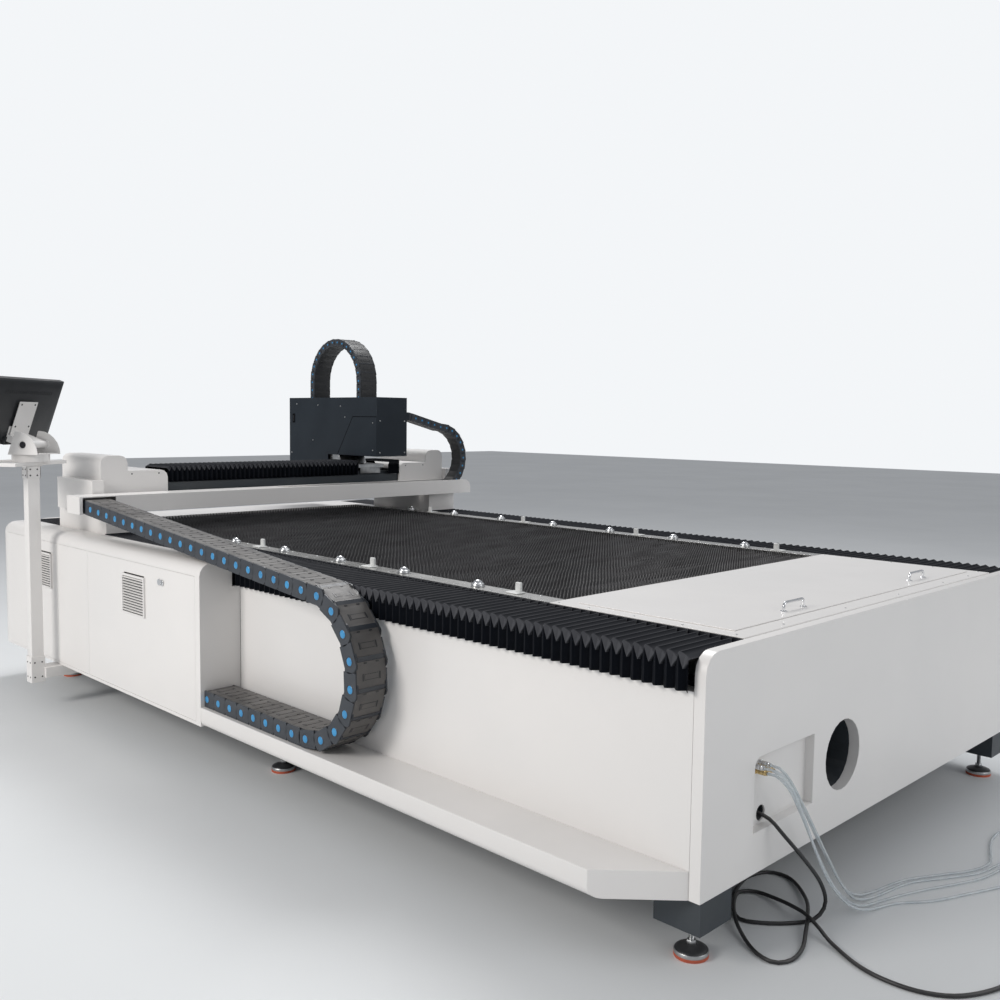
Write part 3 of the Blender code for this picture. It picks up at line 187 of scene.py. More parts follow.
def addNode(tree, kind, inputs=(), **settings):
    # Inputs by name or number: a value, a colour or another node's output
    node = tree.nodes.new("ShaderNode" + kind)
    for title, value in settings.items():
        setattr(node, title, value)
    for title, value in dict(inputs).items():
        connect(tree, value, node.inputs[title])
    return node


def addGroup(tree, name, inputs):
    return addNode(tree, "Group", inputs, node_tree=bpy.data.node_groups[name]).outputs


def colorMix(tree, share, first, second):
    mix = addNode(tree, "Mix", {"Factor": share, "A": first, "B": second}, data_type="RGBA")
    return mix.outputs["Result"]


def sums(tree, job, first, second, clamp=False):
    return addNode(tree, "Math", {0: first, 1: second}, operation=job, use_clamp=clamp).outputs[0]


def spread(tree, value, low, high, toLow=0.0, toHigh=1.0):
    return addNode(tree, "MapRange", {"Value": value, "From Min": low, "From Max": high,
                                      "To Min": toLow, "To Max": toHigh}).outputs["Result"]


def noise(tree, place, scale, detail):
    return addNode(tree, "TexNoise", {"Vector": place, "Scale": scale, "Detail": detail}).outputs["Fac"]


def startGroup(name, inputs, outputs):
    # Sockets as name, kind and, for some, a value
    group = bpy.data.node_groups.new(name, "ShaderNodeTree")
    for side, sockets in (("INPUT", inputs), ("OUTPUT", outputs)):
        for title, kind, *value in sockets:
            socket = group.interface.new_socket(title, in_out=side, socket_type="NodeSocket" + kind)
            if value:
                socket.default_value = value[0]
    return group, group.nodes.new("NodeGroupInput").outputs, group.nodes.new("NodeGroupOutput").inputs


def makeGroups():
    # Uneven colour, roughness and fine grain of a coat or a cast surface
    group, given, out = startGroup("unevenSurface", [
        ("Place", "Vector"), ("Base", "Color", (0.8, 0.8, 0.8, 1)),
        ("Patches", "Color", (0.7, 0.7, 0.7, 1)), ("Patch Scale", "Float", 3.0),
        ("Grain Scale", "Float", 400.0), ("Roughness", "Float", 0.4), ("Roughness Spread", "Float", 0.1)],
        [("Color", "Color"), ("Roughness", "Float"), ("Height", "Float")])
    place, scale = given["Place"], given["Patch Scale"]
    patch = spread(group, noise(group, place, scale, 4), 0.36, 0.68)
    smear = noise(group, place, sums(group, "MULTIPLY", scale, 4.0), 3)
    swing = sums(group, "MULTIPLY", sums(group, "SUBTRACT", smear, 0.5),
                 sums(group, "MULTIPLY", given["Roughness Spread"], 2.0))
    connect(group, colorMix(group, patch, given["Base"], given["Patches"]), out["Color"])
    connect(group, sums(group, "ADD", given["Roughness"], swing, True), out["Roughness"])
    connect(group, noise(group, place, given["Grain Scale"], 2), out["Height"])

    # Dust and dirt that settles on faces that look up
    group, given, out = startGroup("settledDust", [
        ("Place", "Vector"), ("Amount", "Float", 0.3), ("Scale", "Float", 5.0)], [("Mask", "Float")])
    split = addNode(group, "SeparateXYZ", {0: addNode(group, "NewGeometry").outputs["Normal"]})
    upward = spread(group, split.outputs["Z"], 0.4, 0.95)
    patch = spread(group, noise(group, given["Place"], given["Scale"], 5), 0.35, 0.75)
    mask = sums(group, "MULTIPLY", sums(group, "MULTIPLY", upward, patch), given["Amount"], True)
    connect(group, mask, out["Mask"])

    # Fine lines left by rolling, grinding or brushing
    group, given, out = startGroup("drawnLines", [
        ("Place", "Vector"), ("Stretch", "Vector", (1.0, 1.0, 1.0)), ("Scale", "Float", 60.0)],
        [("Mask", "Float")])
    move = addNode(group, "VectorMath", {0: given["Place"], 1: given["Stretch"]}, operation="MULTIPLY")
    lines = noise(group, move.outputs[0], given["Scale"], 3)
    connect(group, spread(group, lines, 0.3, 0.7), out["Mask"])

    # Plain weave, as height
    group, given, out = startGroup("plainWeave", [
        ("Place", "Vector"), ("Threads", "Float", 700.0)], [("Height", "Float")])
    bands = [addNode(group, "TexWave", {"Vector": given["Place"], "Scale": given["Threads"]},
                     bands_direction=turn, wave_profile="SIN").outputs["Fac"] for turn in "XYZ"]
    crossed = sums(group, "MAXIMUM", sums(group, "MULTIPLY", bands[0], bands[1]),
                   sums(group, "MULTIPLY", bands[1], bands[2]))
    connect(group, crossed, out["Height"])


# Finishes

coats = {
    # base, patches, patch scale, grain scale, roughness, spread, bump, dust, the shader's own values
    "whitePaint": ((0.845, 0.825, 0.805), (0.805, 0.790, 0.775), 1.3, 520, 0.34, 0.07, 0.06, 0.05,
                   {"Coat Weight": 0.25, "Coat Roughness": 0.18}),
    "bedPaint": ((0.030, 0.040, 0.050), (0.045, 0.052, 0.058), 3, 380, 0.45, 0.14, 0.12, 0.30, {}),
    "hoodPaint": ((0.013, 0.020, 0.029), (0.018, 0.026, 0.036), 5, 700, 0.46, 0.10, 0.14, 0.05,
                  {"Specular IOR Level": 0.28}),
    # near-black painted shade for gaps, seams, slits and recesses, with little reflection
    "gapShade": ((0.004, 0.004, 0.005), (0.003, 0.003, 0.004), 8, 600, 0.70, 0.05, 0.05, 0,
                {"Specular IOR Level": 0.05}),
    "chainLid": ((0.108, 0.102, 0.097), (0.082, 0.079, 0.078), 9, 900, 0.46, 0.12, 0.16, 0.35, {}),
    "smallChainLid": ((0.030, 0.031, 0.033), (0.022, 0.023, 0.025), 9, 900, 0.50, 0.12, 0.16, 0.2, {}),
    "chainSide": ((0.030, 0.036, 0.046), (0.042, 0.048, 0.058), 9, 900, 0.40, 0.12, 0.12, 0.25, {}),
    "chainClip": ((0.020, 0.022, 0.026), (0.030, 0.032, 0.036), 12, 900, 0.38, 0.1, 0.1, 0.1, {}),
    "chainPin": ((0.030, 0.290, 0.600), (0.025, 0.225, 0.480), 14, 900, 0.34, 0.08, 0.08, 0.1,
                 {"Coat Weight": 0.3}),
    "cableRubber": ((0.016, 0.016, 0.018), (0.026, 0.026, 0.027), 20, 900, 0.42, 0.12, 0.12, 0.25, {}),
    "footRubber": ((0.560, 0.120, 0.055), (0.420, 0.085, 0.045), 18, 600, 0.60, 0.10, 0.2, 0.2, {}),
    "blackPlastic": ((0.018, 0.020, 0.023), (0.026, 0.028, 0.031), 8, 1100, 0.40, 0.08, 0.16, 0.15, {}),
    "stopPlastic": ((0.78, 0.79, 0.78), (0.66, 0.67, 0.66), 30, 700, 0.38, 0.08, 0.06, 0.1, {}),
    "floorPaint": ((0.76, 0.78, 0.79), (0.72, 0.74, 0.75), 0.5, 120, 0.55, 0.10, 0.02, 0, {}),
    "bellowsCloth": ((0.064, 0.066, 0.074), (0.082, 0.084, 0.092), 9, 900, 0.68, 0.12, 0.25, 0,
                     {"Specular IOR Level": 0.07}),
    "clearHose": ((0.86, 0.90, 0.92), (0.74, 0.80, 0.84), 30, 500, 0.16, 0.06, 0, 0,
                  {"Transmission Weight": 0.45, "IOR": 1.35}),
    "screenGlass": ((0.006, 0.007, 0.009), (0.012, 0.013, 0.016), 7, 60, 0.10, 0.08, 0, 0,
                    {"Coat Weight": 0.6}),
}

metals = {
    # base, darker, stretch, line scale, roughness, spread, bump, dust, metallic
    "slatSteel": ((0.150, 0.150, 0.155), (0.070, 0.068, 0.070), (14, 2, 10), 3, 0.48, 0.16, 0.10, 0.1, 0.35),
    "brightSteel": ((0.60, 0.59, 0.57), (0.44, 0.44, 0.43), (6, 60, 60), 4, 0.27, 0.12, 0.05, 0.15, 1),
    "zincPlate": ((0.56, 0.57, 0.57), (0.42, 0.43, 0.44), (30, 30, 30), 1.2, 0.36, 0.12, 0.05, 0.1, 1),
    "chromePlate": ((0.82, 0.83, 0.84), (0.70, 0.71, 0.73), (20, 20, 20), 1.0, 0.09, 0.05, 0.01, 0.05, 1),
    "brassTurned": ((0.78, 0.60, 0.30), (0.60, 0.44, 0.20), (40, 40, 200), 2, 0.26, 0.08, 0.04, 0.0, 1),
    "blackScrew": ((0.055, 0.055, 0.060), (0.030, 0.030, 0.034), (60, 60, 60), 2, 0.34, 0.08, 0.05, 0.0, 1),
}

looks = {"coatDepth": 0.0006, "lineDepth": 0.0004, "dust": (0.42, 0.41, 0.40), "dustScale": 6.0,
         # the two fold colours are painted shade in the bellows' folds and a painted highlight on their crests
         "foldShadeColor": (0.0026, 0.0038, 0.0068), "crestHighlightColor": (0.115, 0.115, 0.120), "threads": 260.0}


def finish(name):
    if name in bpy.data.materials:
        return bpy.data.materials[name]
    made = bpy.data.materials.new(name)
    made.use_nodes = True
    tree = made.node_tree
    shader = tree.nodes["Principled BSDF"]
    place = addNode(tree, "TexCoord").outputs["Object"]
    if name in coats:
        *surface, bump, dust, extras = coats[name]
        titles = ("Base", "Patches", "Patch Scale", "Grain Scale", "Roughness", "Roughness Spread")
        coat = addGroup(tree, "unevenSurface", {"Place": place, **dict(zip(titles, surface))})
        color, roughness, height = (coat[k] for k in ("Color", "Roughness", "Height"))
        depth = looks["coatDepth"]
    else:
        base, darker, stretch, lines, rough, swing, bump, dust, metallic = metals[name]
        height = addGroup(tree, "drawnLines", {"Place": place, "Stretch": stretch, "Scale": lines})["Mask"]
        color = colorMix(tree, height, base, darker)
        roughness = spread(tree, height, 0, 1, rough - swing / 2, rough + swing / 2)
        extras, depth = {"Metallic": metallic}, looks["lineDepth"]
    if name == "bellowsCloth":
        # the bellows get painted shade and a painted highlight from their folds' rows
        color, height = paintedFoldLight(tree, place, color)
        depth = looks["lineDepth"]
    if dust:
        mask = addGroup(tree, "settledDust", {"Place": place, "Amount": dust,
                                              "Scale": looks["dustScale"]})["Mask"]
        color = colorMix(tree, mask, color, looks["dust"])
        roughness = sums(tree, "ADD", roughness, sums(tree, "MULTIPLY", mask, 0.35), True)
    if bump:
        raised = addNode(tree, "Bump", {"Strength": bump, "Distance": depth, "Height": height})
        connect(tree, raised.outputs[0], shader.inputs["Normal"])
    for title, value in {"Base Color": color, "Roughness": roughness, **extras}.items():
        connect(tree, value, shader.inputs[title])
    return made


def paintedFoldLight(tree, place, color):
    # Coated cloth with painted light: painted shade, black in the folds and lighter up their sides, and a
    # painted highlight along the crests, broken up by noise
    foldLightShare = addNode(tree, "Attribute", attribute_name="foldLightShare").outputs["Fac"]
    broken = spread(tree, noise(tree, place, 40.0, 4), 0.35, 0.65)
    crestGlint = sums(tree, "MULTIPLY", spread(tree, foldLightShare, 0.82, 1.0), spread(tree, broken, 0, 1, 0.35, 1.0), True)
    foldShaded = colorMix(tree, spread(tree, foldLightShare, 0.0, 0.60), looks["foldShadeColor"], color)
    weave = addGroup(tree, "plainWeave", {"Place": place, "Threads": looks["threads"]})["Height"]
    return colorMix(tree, crestGlint, foldShaded, looks["crestHighlightColor"]), weave


# Shaping

def paint(verts, tone):
    for face in {f for v in verts for f in v.link_faces}:
        face.material_index = tone


def plainBlock(bm, xs, ys, zs, tone=0, spot=lambda *p: Vector(p)):
    made = bmesh.ops.create_cube(bm, size=1)["verts"]
    bmesh.ops.scale(bm, vec=[abs(b - a) for a, b in (xs, ys, zs)], verts=made)
    bmesh.ops.translate(bm, vec=spot(sum(xs) / 2, sum(ys) / 2, sum(zs) / 2), verts=made)
    paint(made, tone)
    return made


def addBox(bm, us, ys, zs, tone=0):
    return plainBlock(bm, us, ys, zs, tone, at)


def drawnOut(bm, points, push, tone=0):
    # A flat outline, drawn out along one direction
    face = bm.faces.new([bm.verts.new(p) for p in points])
    grown = bmesh.ops.extrude_face_region(bm, geom=[face])["geom"]
    fresh = [g for g in grown if isinstance(g, bmesh.types.BMVert)]
    bmesh.ops.translate(bm, vec=push, verts=fresh)
    paint([*face.verts, *fresh], tone)


def takeIn(bm, other, place):
    # Adds a finished small shape to a larger one
    mesh = bpy.data.meshes.new("taken")
    other.to_mesh(mesh)
    mesh.transform(place)
    bm.from_mesh(mesh)
    bpy.data.meshes.remove(mesh)


def addTurned(bm, profile, places, sides=32, tone=0):
    # Turns a profile of (radius, height) round the z axis and sets it at every place
    shape = bmesh.new()
    line = [shape.verts.new((r, 0, h)) for r, h in profile]
    edges = [shape.edges.new(pair) for pair in zip(line, line[1:])]
    bmesh.ops.spin(shape, geom=line + edges, cent=(0, 0, 0), axis=upright, angle=2 * math.pi,
                   steps=sides, use_merge=True, use_duplicate=False)
    bmesh.ops.remove_doubles(shape, verts=shape.verts[:], dist=1e-5)
    paint(shape.verts, tone)
    for place in places:
        takeIn(bm, shape, place)
    shape.free()


def facing(direction, spot):
    # Stands a shape that was made upright at a spot, pointing along a direction
    return Matrix.Translation(spot) @ Vector(direction).to_track_quat("Z", "Y").to_matrix().to_4x4()


def addScrews(bm, spots, direction, radius, tone=0):
    # Pan heads with a socket
    head = ((0, 0.45), (0.30, 0.45), (0.32, 0.15), (0.42, 0.15), (0.44, 0.50), (0.75, 0.42),
            (1, 0.10), (1, -0.2), (0, -0.2))
    addTurned(bm, [(radius * r, radius * h) for r, h in head], [facing(direction, s) for s in spots],
              12, tone)


def finishPiece(name, bm, finishes, body, stands=(), rounding=0.0, sharp=38):
    bmesh.ops.recalc_face_normals(bm, faces=bm.faces[:])
    mesh = bpy.data.meshes.new(name)
    bm.to_mesh(mesh)
    bm.free()
    for each in finishes:
        mesh.materials.append(finish(each))
    mesh.shade_smooth()
    mesh.set_sharp_from_angle(angle=math.radians(sharp))
    piece = bpy.data.objects.new(name, mesh)
    scene.collection.objects.link(piece)
    if rounding:
        edges = piece.modifiers.new("rounding", "BEVEL")
        edges.width = rounding
        edges.segments = 2
        edges.limit_method = "ANGLE"
        edges.angle_limit = math.radians(40)
        edges.use_clamp_overlap = False
        edges.harden_normals = True
    if stands:
        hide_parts(*stands)
    if body:
        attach(piece, body)
    return piece


def bodyOf(node):
    return body_of(frame["nodes"][node])[0]


def smoothRoute(points, count):
    # Evenly spaced points on one smooth curve through the given ones
    ends = [points[0] * 2 - points[1], *points, points[-1] * 2 - points[-2]]
    fine, pieces = [], 24
    for a, b, c, d in zip(ends, ends[1:], ends[2:], ends[3:]):
        for t in (step / pieces for step in range(pieces)):
            fine.append(0.5 * ((2 * b) + (c - a) * t + (2 * a - 5 * b + 4 * c - d) * t ** 2
                               + (3 * b - a - 3 * c + d) * t ** 3))
    fine.append(points[-1])
    reach = [0.0]
    for a, b in zip(fine, fine[1:]):
        reach.append(reach[-1] + (b - a).length)
    even, k = [], 0
    for step in range(count):
        want = reach[-1] * step / (count - 1)
        while k < len(fine) - 2 and reach[k + 1] < want:
            k += 1
        share = (want - reach[k]) / max(reach[k + 1] - reach[k], 1e-9)
        even.append(fine[k].lerp(fine[k + 1], share))
    return even


def lengthOf(points):
    return sum((b - a).length for a, b in zip(points, points[1:]))


# Cords: a point of a route with two numbers lies on the floor

powerCable = {
    "thick": 0.012, "long": 6.0, "floor": 0.0065, "coil": (-0.700, 0.700), "from": 15, "stride": 8,
    # angle from the start of the coil, radius, height
    "knots": ((0, 0.095, 0.0065), (60, 0.0825, 0.0065), (780, 0.0575, 0.0065), (840, 0.0575, 0.0195),
              (1560, 0.0825, 0.0195)),
    "ties": ((40, 215), 0.070, 0.0402, 0.0262), "points": 150,
    "route": [
        (0.1165, 0.350, 0.361), (0.034, 0.350, 0.360), (-0.005, 0.350, 0.350), (-0.045, 0.353, 0.318),
        (-0.085, 0.398, 0.248), (-0.088, 0.500, 0.146), (-0.082, 0.553, 0.065), (-0.070, 0.536, 0.021),
        (-0.044, 0.494), (0.016, 0.420), (0.092, 0.371), (0.140, 0.402), (0.190, 0.475), (0.217, 0.544),
        (0.236, 0.640), (0.206, 0.722), (0.129, 0.728, 0.007), (0.019, 0.624, 0.013),
        (-0.048, 0.510, 0.0195), (-0.085, 0.430, 0.014), (-0.118, 0.350), (-0.128, 0.270),
        (-0.094, 0.222), (-0.019, 0.243, 0.0075), (0.071, 0.314, 0.015), (0.130, 0.385, 0.0195),
        (0.173, 0.460, 0.019), (0.190, 0.520, 0.012), (0.159, 0.562, 0.0085), (0.090, 0.559, 0.012),
        (0.020, 0.530, 0.024), (-0.050, 0.495, 0.0325), (-0.105, 0.466, 0.024), (-0.163, 0.434, 0.010),
        (-0.267, 0.380), (-0.355, 0.362), (-0.448, 0.375), (-0.527, 0.430), (-0.583, 0.538),
        (-0.598, 0.640), (-0.604, 0.710), (-0.6083, 0.7247)],
}

airHose = {
    "thick": 0.008, "floor": 0.0045, "coil": (-0.455, 1.400), "radius": 0.0581, "step": 0.00875,
    "outside": 0.0669, "from": (-10, 50, 100, 190), "stride": 10, "rise": 60, "settle": 50,
    "turned": 1260, "shrunk": 0.0300125, "ties": ((20, 200), 0.045, 0.0362, 0.0350), "points": 60,
    "routes": [
        [(-0.0153, 0.284, 0.523), (-0.050, 0.284, 0.523), (-0.088, 0.305, 0.485), (-0.100, 0.360, 0.390),
         (-0.105, 0.430, 0.270), (-0.112, 0.510, 0.150), (-0.125, 0.600, 0.060), (-0.145, 0.690, 0.014),
         (-0.182, 0.816), (-0.258, 0.921), (-0.320, 1.060), (-0.368, 1.172), (-0.393, 1.240),
         (-0.400, 1.310), (-0.3885, 1.388)],
        [(-0.0153, 0.303, 0.503), (-0.045, 0.303, 0.503), (-0.073, 0.325, 0.468), (-0.084, 0.385, 0.375),
         (-0.090, 0.455, 0.265), (-0.097, 0.535, 0.150), (-0.107, 0.620, 0.062), (-0.123, 0.705, 0.014),
         (-0.150, 0.820), (-0.200, 0.960), (-0.255, 1.080), (-0.305, 1.200), (-0.325, 1.310),
         (-0.345, 1.380), (-0.375, 1.420), (-0.4125, 1.4513)],
        [(-0.0153, 0.322, 0.523), (-0.038, 0.322, 0.523), (-0.058, 0.348, 0.490), (-0.068, 0.415, 0.400),
         (-0.072, 0.490, 0.300), (-0.078, 0.570, 0.190), (-0.086, 0.650, 0.085), (-0.098, 0.725, 0.020),
         (-0.120, 0.825), (-0.154, 0.993), (-0.222, 1.117), (-0.284, 1.237), (-0.308, 1.363),
         (-0.318, 1.420), (-0.350, 1.463), (-0.400, 1.475), (-0.440, 1.472), (-0.4667, 1.4670)],
        [(-0.0153, 0.341, 0.503), (-0.032, 0.341, 0.503), (-0.045, 0.368, 0.475), (-0.052, 0.435, 0.390),
         (-0.055, 0.515, 0.285), (-0.060, 0.595, 0.180), (-0.067, 0.670, 0.085), (-0.078, 0.745, 0.022),
         (-0.098, 0.840), (-0.133, 1.000), (-0.200, 1.128), (-0.262, 1.243), (-0.280, 1.345),
         (-0.245, 1.450), (-0.212, 1.560), (-0.208, 1.653), (-0.235, 1.720), (-0.300, 1.760),
         (-0.380, 1.745), (-0.450, 1.690), (-0.505, 1.600), (-0.528, 1.500), (-0.531, 1.440),
         (-0.5217, 1.3880)]],
}


def routeOf(points, spec):
    return smoothRoute([at(*(*p, spec["floor"])[:3]) for p in points], spec["points"])


def coilPoint(spec, degrees, radius, height):
    # A point of a coil that lies on the floor, seen from the coil's middle
    turn = math.radians(degrees)
    u, y = spec["coil"]
    return at(u + radius * math.cos(turn), y + radius * math.sin(turn), height)


def knotted(knots, swept):
    # Radius and height at an angle, straight between the knots
    for (a, *first), (b, *last) in zip(knots, knots[1:]):
        if swept <= b:
            share = (swept - a) / (b - a)
            return [p + (q - p) * share for p, q in zip(first, last)]
    return knots[-1][1:]


def makeTube(name, points, thick, finishName):
    curve = bpy.data.curves.new(name, "CURVE")
    curve.dimensions = "3D"
    curve.bevel_depth = thick / 2
    curve.bevel_resolution = 3
    curve.use_fill_caps = True
    line = curve.splines.new("POLY")
    line.points.add(len(points) - 1)
    for slot, point in zip(line.points, points):
        slot.co = (point.x, point.y, max(point.z, thick / 2 + 0.0003), 1.0)
    curve.materials.append(finish(finishName))
    piece = bpy.data.objects.new(name, curve)
    scene.collection.objects.link(piece)
    return piece


def makeTies(name, spec, finishName):
    # Straps round the coil's section, each one a flat loop
    bm = bmesh.new()
    places, radius, wide, high = spec["ties"]
    thick, long, lift = 0.0012, 0.006, 0.0003
    for degrees in places:
        loop = bmesh.new()
        for grow in (0.0, thick):
            ring = bmesh.ops.create_circle(loop, cap_ends=False, segments=24, radius=1.0)["verts"]
            bmesh.ops.scale(loop, vec=(wide / 2 + grow, high / 2 + grow - thick / 2, 1), verts=ring)
        bmesh.ops.bridge_loops(loop, edges=loop.edges[:])
        grown = bmesh.ops.extrude_face_region(loop, geom=loop.faces[:])["geom"]
        bmesh.ops.translate(loop, vec=(0, 0, long),
                            verts=[g for g in grown if isinstance(g, bmesh.types.BMVert)])
        around = math.radians(degrees)
        out = Vector((-math.cos(around), math.sin(around), 0))
        along = Vector((math.sin(around), math.cos(around), 0))
        turn = Matrix((out, upright, along)).transposed().to_4x4()
        spot = coilPoint(spec, degrees, radius, high / 2 + lift)
        takeIn(bm, loop, Matrix.Translation(spot) @ turn)
        loop.free()
    return finishPiece(name, bm, [finishName], "bed")


def layCord(cord, points, stands):
    length = lengthOf(points)
    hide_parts(*stands)
    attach(cord, "bed")
    tuple(points[0])
    print(cord.name, round(length, 3), "m")


def makeCords():
    spec = powerCable
    route = routeOf(spec["route"], spec)
    left = spec["long"] - lengthOf(route)
    coil, swept = [route[-1]], 0
    while lengthOf(coil) < left:
        swept += spec["stride"]
        coil.append(coilPoint(spec, spec["from"] + swept, *knotted(spec["knots"], swept)))
    points = route + coil[1:]
    cable = makeTube("powerCable", points, spec["thick"], "cableRubber")
    tie = makeTies("powerCableTie", spec, "blackPlastic")
    layCord(cable, points, ["power_cable", "power_cable_coil"])

    spec = airHose
    ties = makeTies("airHoseTie", spec, "stopPlastic")
    for number, (start, begin) in enumerate(zip(spec["routes"], spec["from"])):
        # each hose winds one layer above the last, and all but the first climb to theirs
        level = spec["floor"] + spec["step"] * number
        rise = spec["rise"] if number else 0
        knots = [(0, spec["outside"], spec["floor"]), (rise, spec["outside"], level),
                 (rise + spec["settle"], spec["radius"], level),
                 (rise + spec["settle"] + spec["turned"], spec["radius"] - spec["shrunk"], level)]
        points = routeOf(start, spec)
        for swept in range(spec["stride"], knots[-1][0] + 1, spec["stride"]):
            points.append(coilPoint(spec, begin + swept, *knotted(knots, swept)))
        hose = makeTube(f"airHose{number + 1}", points, spec["thick"], "clearHose")
        stands = [f"air_hose_{number + 1}"] + ([] if number else ["air_hose_coil"])
        layCord(hose, points, stands)


# Folded covers

foldPhases = {
    # place within a pleat, share of its height, painted light, from painted shade just under the crest to a
    # painted highlight on it; the rear-facing side rises to the crest
    "valley": (0.00, 0.00, 0.55), "middle": (0.43, 0.50, 0.26), "under": (0.82, 0.92, 0.0),
    "crest": (0.86, 1.00, 1.00),
}


def pleatRows(first, last, count, section):
    # Rows of points along a folded cover, and the painted light of each row
    pitch = (last - first) / count
    rows, rowLightShares = [], []
    for k in range(count):
        for phase, (share, rise, tone) in foldPhases.items():
            rows.append(section(first + pitch * (k + share), phase, rise))
            rowLightShares.append(tone)
    return rows + [section(last, "valley", 0.0)], rowLightShares + [foldPhases["valley"][2]]


def clothPiece(name, spec, sheet, body, stands=()):
    # A grid whose rows take the given places; the bands along it share out each row's painted light and shade,
    # and a band below zero gives the same painted tone in every row
    rows, rowLightShares = sheet
    bm = bmesh.new()
    nx, ny = len(rows) - 1, len(rows[0]) - 1
    bmesh.ops.create_grid(bm, x_segments=nx, y_segments=ny, size=1)
    foldLightShare = bm.verts.layers.float.new("foldLightShare")
    for v in bm.verts:
        i, j = round((v.co.x + 1) / 2 * nx), round((v.co.y + 1) / 2 * ny)
        v.co = rows[i][j]
        v[foldLightShare] = max(rowLightShares[i] * spec["bands"][j], -spec["bands"][j])
    piece = finishPiece(name, bm, ["bellowsCloth"], body, stands, 0, 20)
    wall = piece.modifiers.new("cloth", "SOLIDIFY")
    wall.thickness = 0.0014
    wall.offset = -1
    return piece


guideBellows = {"pitch": 0.0375, "tip": -0.030, "inner": 0.2397, "top": 0.8945, "low": 0.789,
                "fold": 0.017, "tab": 0.034, "recess": 0.019, "frontPleats": 22, "travel": 2.4,
                "rear": (0.0378, 3.5995), "front": (4.1905, 4.5625), "sleeve": 0.115, "inset": 0.0225,
                # bands: how much of each row's painted light each point across the section takes; the small
                # shares are painted shade down the inner side, in the groove by it and under the tabs, and below
                # zero one flat painted tone on the tabs
                "bands": (0.1, 0.4, 0.6, 0.0, 1, 1, -0.62, -0.62, 0.08, 0.10)}


def flip(y, mirror):
    return width - y if mirror else y


def guideSection(mirror, shrink=0.0):
    # The folds stand up along the top; at the outer edge each one ends in a hanging tab
    spec = guideBellows
    top, tip, inner = spec["top"] - shrink, spec["tip"] + shrink, spec["inner"] - shrink

    def section(u, phase, rise):
        flat = phase == "middle"
        high = top - spec["fold"] * (1 - rise)
        back, edge, drop, hang = (spec["recess"], 0.008, spec["tab"], spec["tab"] + 0.002) if flat else (
            0.002, 0.004, 0.003, 0.010)
        points = [(inner, spec["low"] + 0.06), (inner, top), (inner - 0.008, top),
                  (inner - 0.011, top - spec["fold"] - 0.004),
                  (inner - (0.016 if phase == "crest" else 0.030), high), (tip + 0.015, high),
                  (tip + edge, high), (tip, high - drop), (tip + back, high - hang),
                  (tip + back, spec["low"])]
        return [at(u, flip(y, mirror), z) for y, z in points]
    return section


def makeGuideBellows():
    spec = guideBellows
    for side, mirror in (("near", False), ("far", True)):
        first, last = spec["rear"]
        count = round((last - first) / spec["pitch"])
        rear = clothPiece(side + "RearBellows", spec, pleatRows(first, last, count, guideSection(mirror)),
                          "bed", [side + "_rear_bellows"])
        tuple(at(first, 0, 0.8))
        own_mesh(rear)
        # folds on the carriage's own frame, which the cover slides over
        clothPiece(side + "RearSleeve", spec, pleatRows(last - spec["sleeve"], last, 4,
                                                        guideSection(mirror, spec["inset"])), "gantry")
        first, last = spec["front"]
        front = clothPiece(side + "FrontBellows", spec,
                           pleatRows(first, last, spec["frontPleats"], guideSection(mirror)),
                           None, [side + "_front_bellows"])
        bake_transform(front, "bed", "gantry", tuple(at(last, 0, 0.8)), tuple(at(first, 0, 0.8)))


beamBellows = {"low": 1.1425, "top": 1.2315, "us": (3.703, 3.967), "fold": 0.014, "pitch": 0.030,
               "tab": 0.024, "recess": 0.014, "near": (0.3715, 1.655), "far": (1.905, 1.989),
               "farPleats": 9, "travel": 1.22, "sleeve": 0.115, "inset": 0.0165,
               # bands: how much of each row's painted light each point across the section takes; the small
               # shares are painted shade down the sides under the tabs, and below zero one flat painted tone at
               # the tabs' edge
               "bands": (0.10, 0.08, -0.55, 1, 1, -0.55, 0.08, 0.10)}


def beamSection(shrink=0.0):
    spec = beamBellows
    u0, u1 = spec["us"][0] + shrink, spec["us"][1] - shrink

    def section(y, phase, rise):
        flat = phase == "middle"
        high = spec["top"] - shrink - spec["fold"] * (1 - rise)
        back = spec["recess"] if flat else 0.001
        drop = spec["tab"] if flat else 0.004
        half = [(back, spec["low"]), (back, high - drop - 0.002), (0, high - drop), (0.006, high)]
        return [at(u0 + du, y, z) for du, z in half] + [at(u1 - du, y, z) for du, z in half[::-1]]
    return section


def makeBeamBellows():
    spec = beamBellows
    first, last = spec["near"]
    count = round((last - first) / spec["pitch"])
    near = clothPiece("nearBeamBellows", spec, pleatRows(first, last, count, beamSection()), "gantry",
                      ["near_beam_bellows"])
    tuple(at(3.8, first, 1.2))
    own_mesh(near)
    sleeve = clothPiece("nearBeamSleeve", spec, pleatRows(last - spec["sleeve"], last, 4,
                                                          beamSection(spec["inset"])), "head")
    tuple(at(3.8, last, 1.2))
    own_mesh(sleeve)
    first, last = spec["far"]
    far = clothPiece("farBeamBellows", spec, pleatRows(first, last, spec["farPleats"], beamSection()),
                     None, ["far_beam_bellows"])
    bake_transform(far, "gantry", "head", tuple(at(3.8, last, 1.2)), tuple(at(3.8, first, 1.2)))


# Slats and support rails

slatBed = {"from": 0.796, "to": 4.236, "pitch": 0.0476, "thick": 0.003, "low": 0.800,
           "root": 0.868, "tip": 0.8995, "teeth": 88, "comb": (0.3205, 0.3285), "combZ": (0.7605, 0.855),
           "bars": (0.75, 1.18, 1.61), "barZ": (0.790, 0.812), "barThick": 0.006}


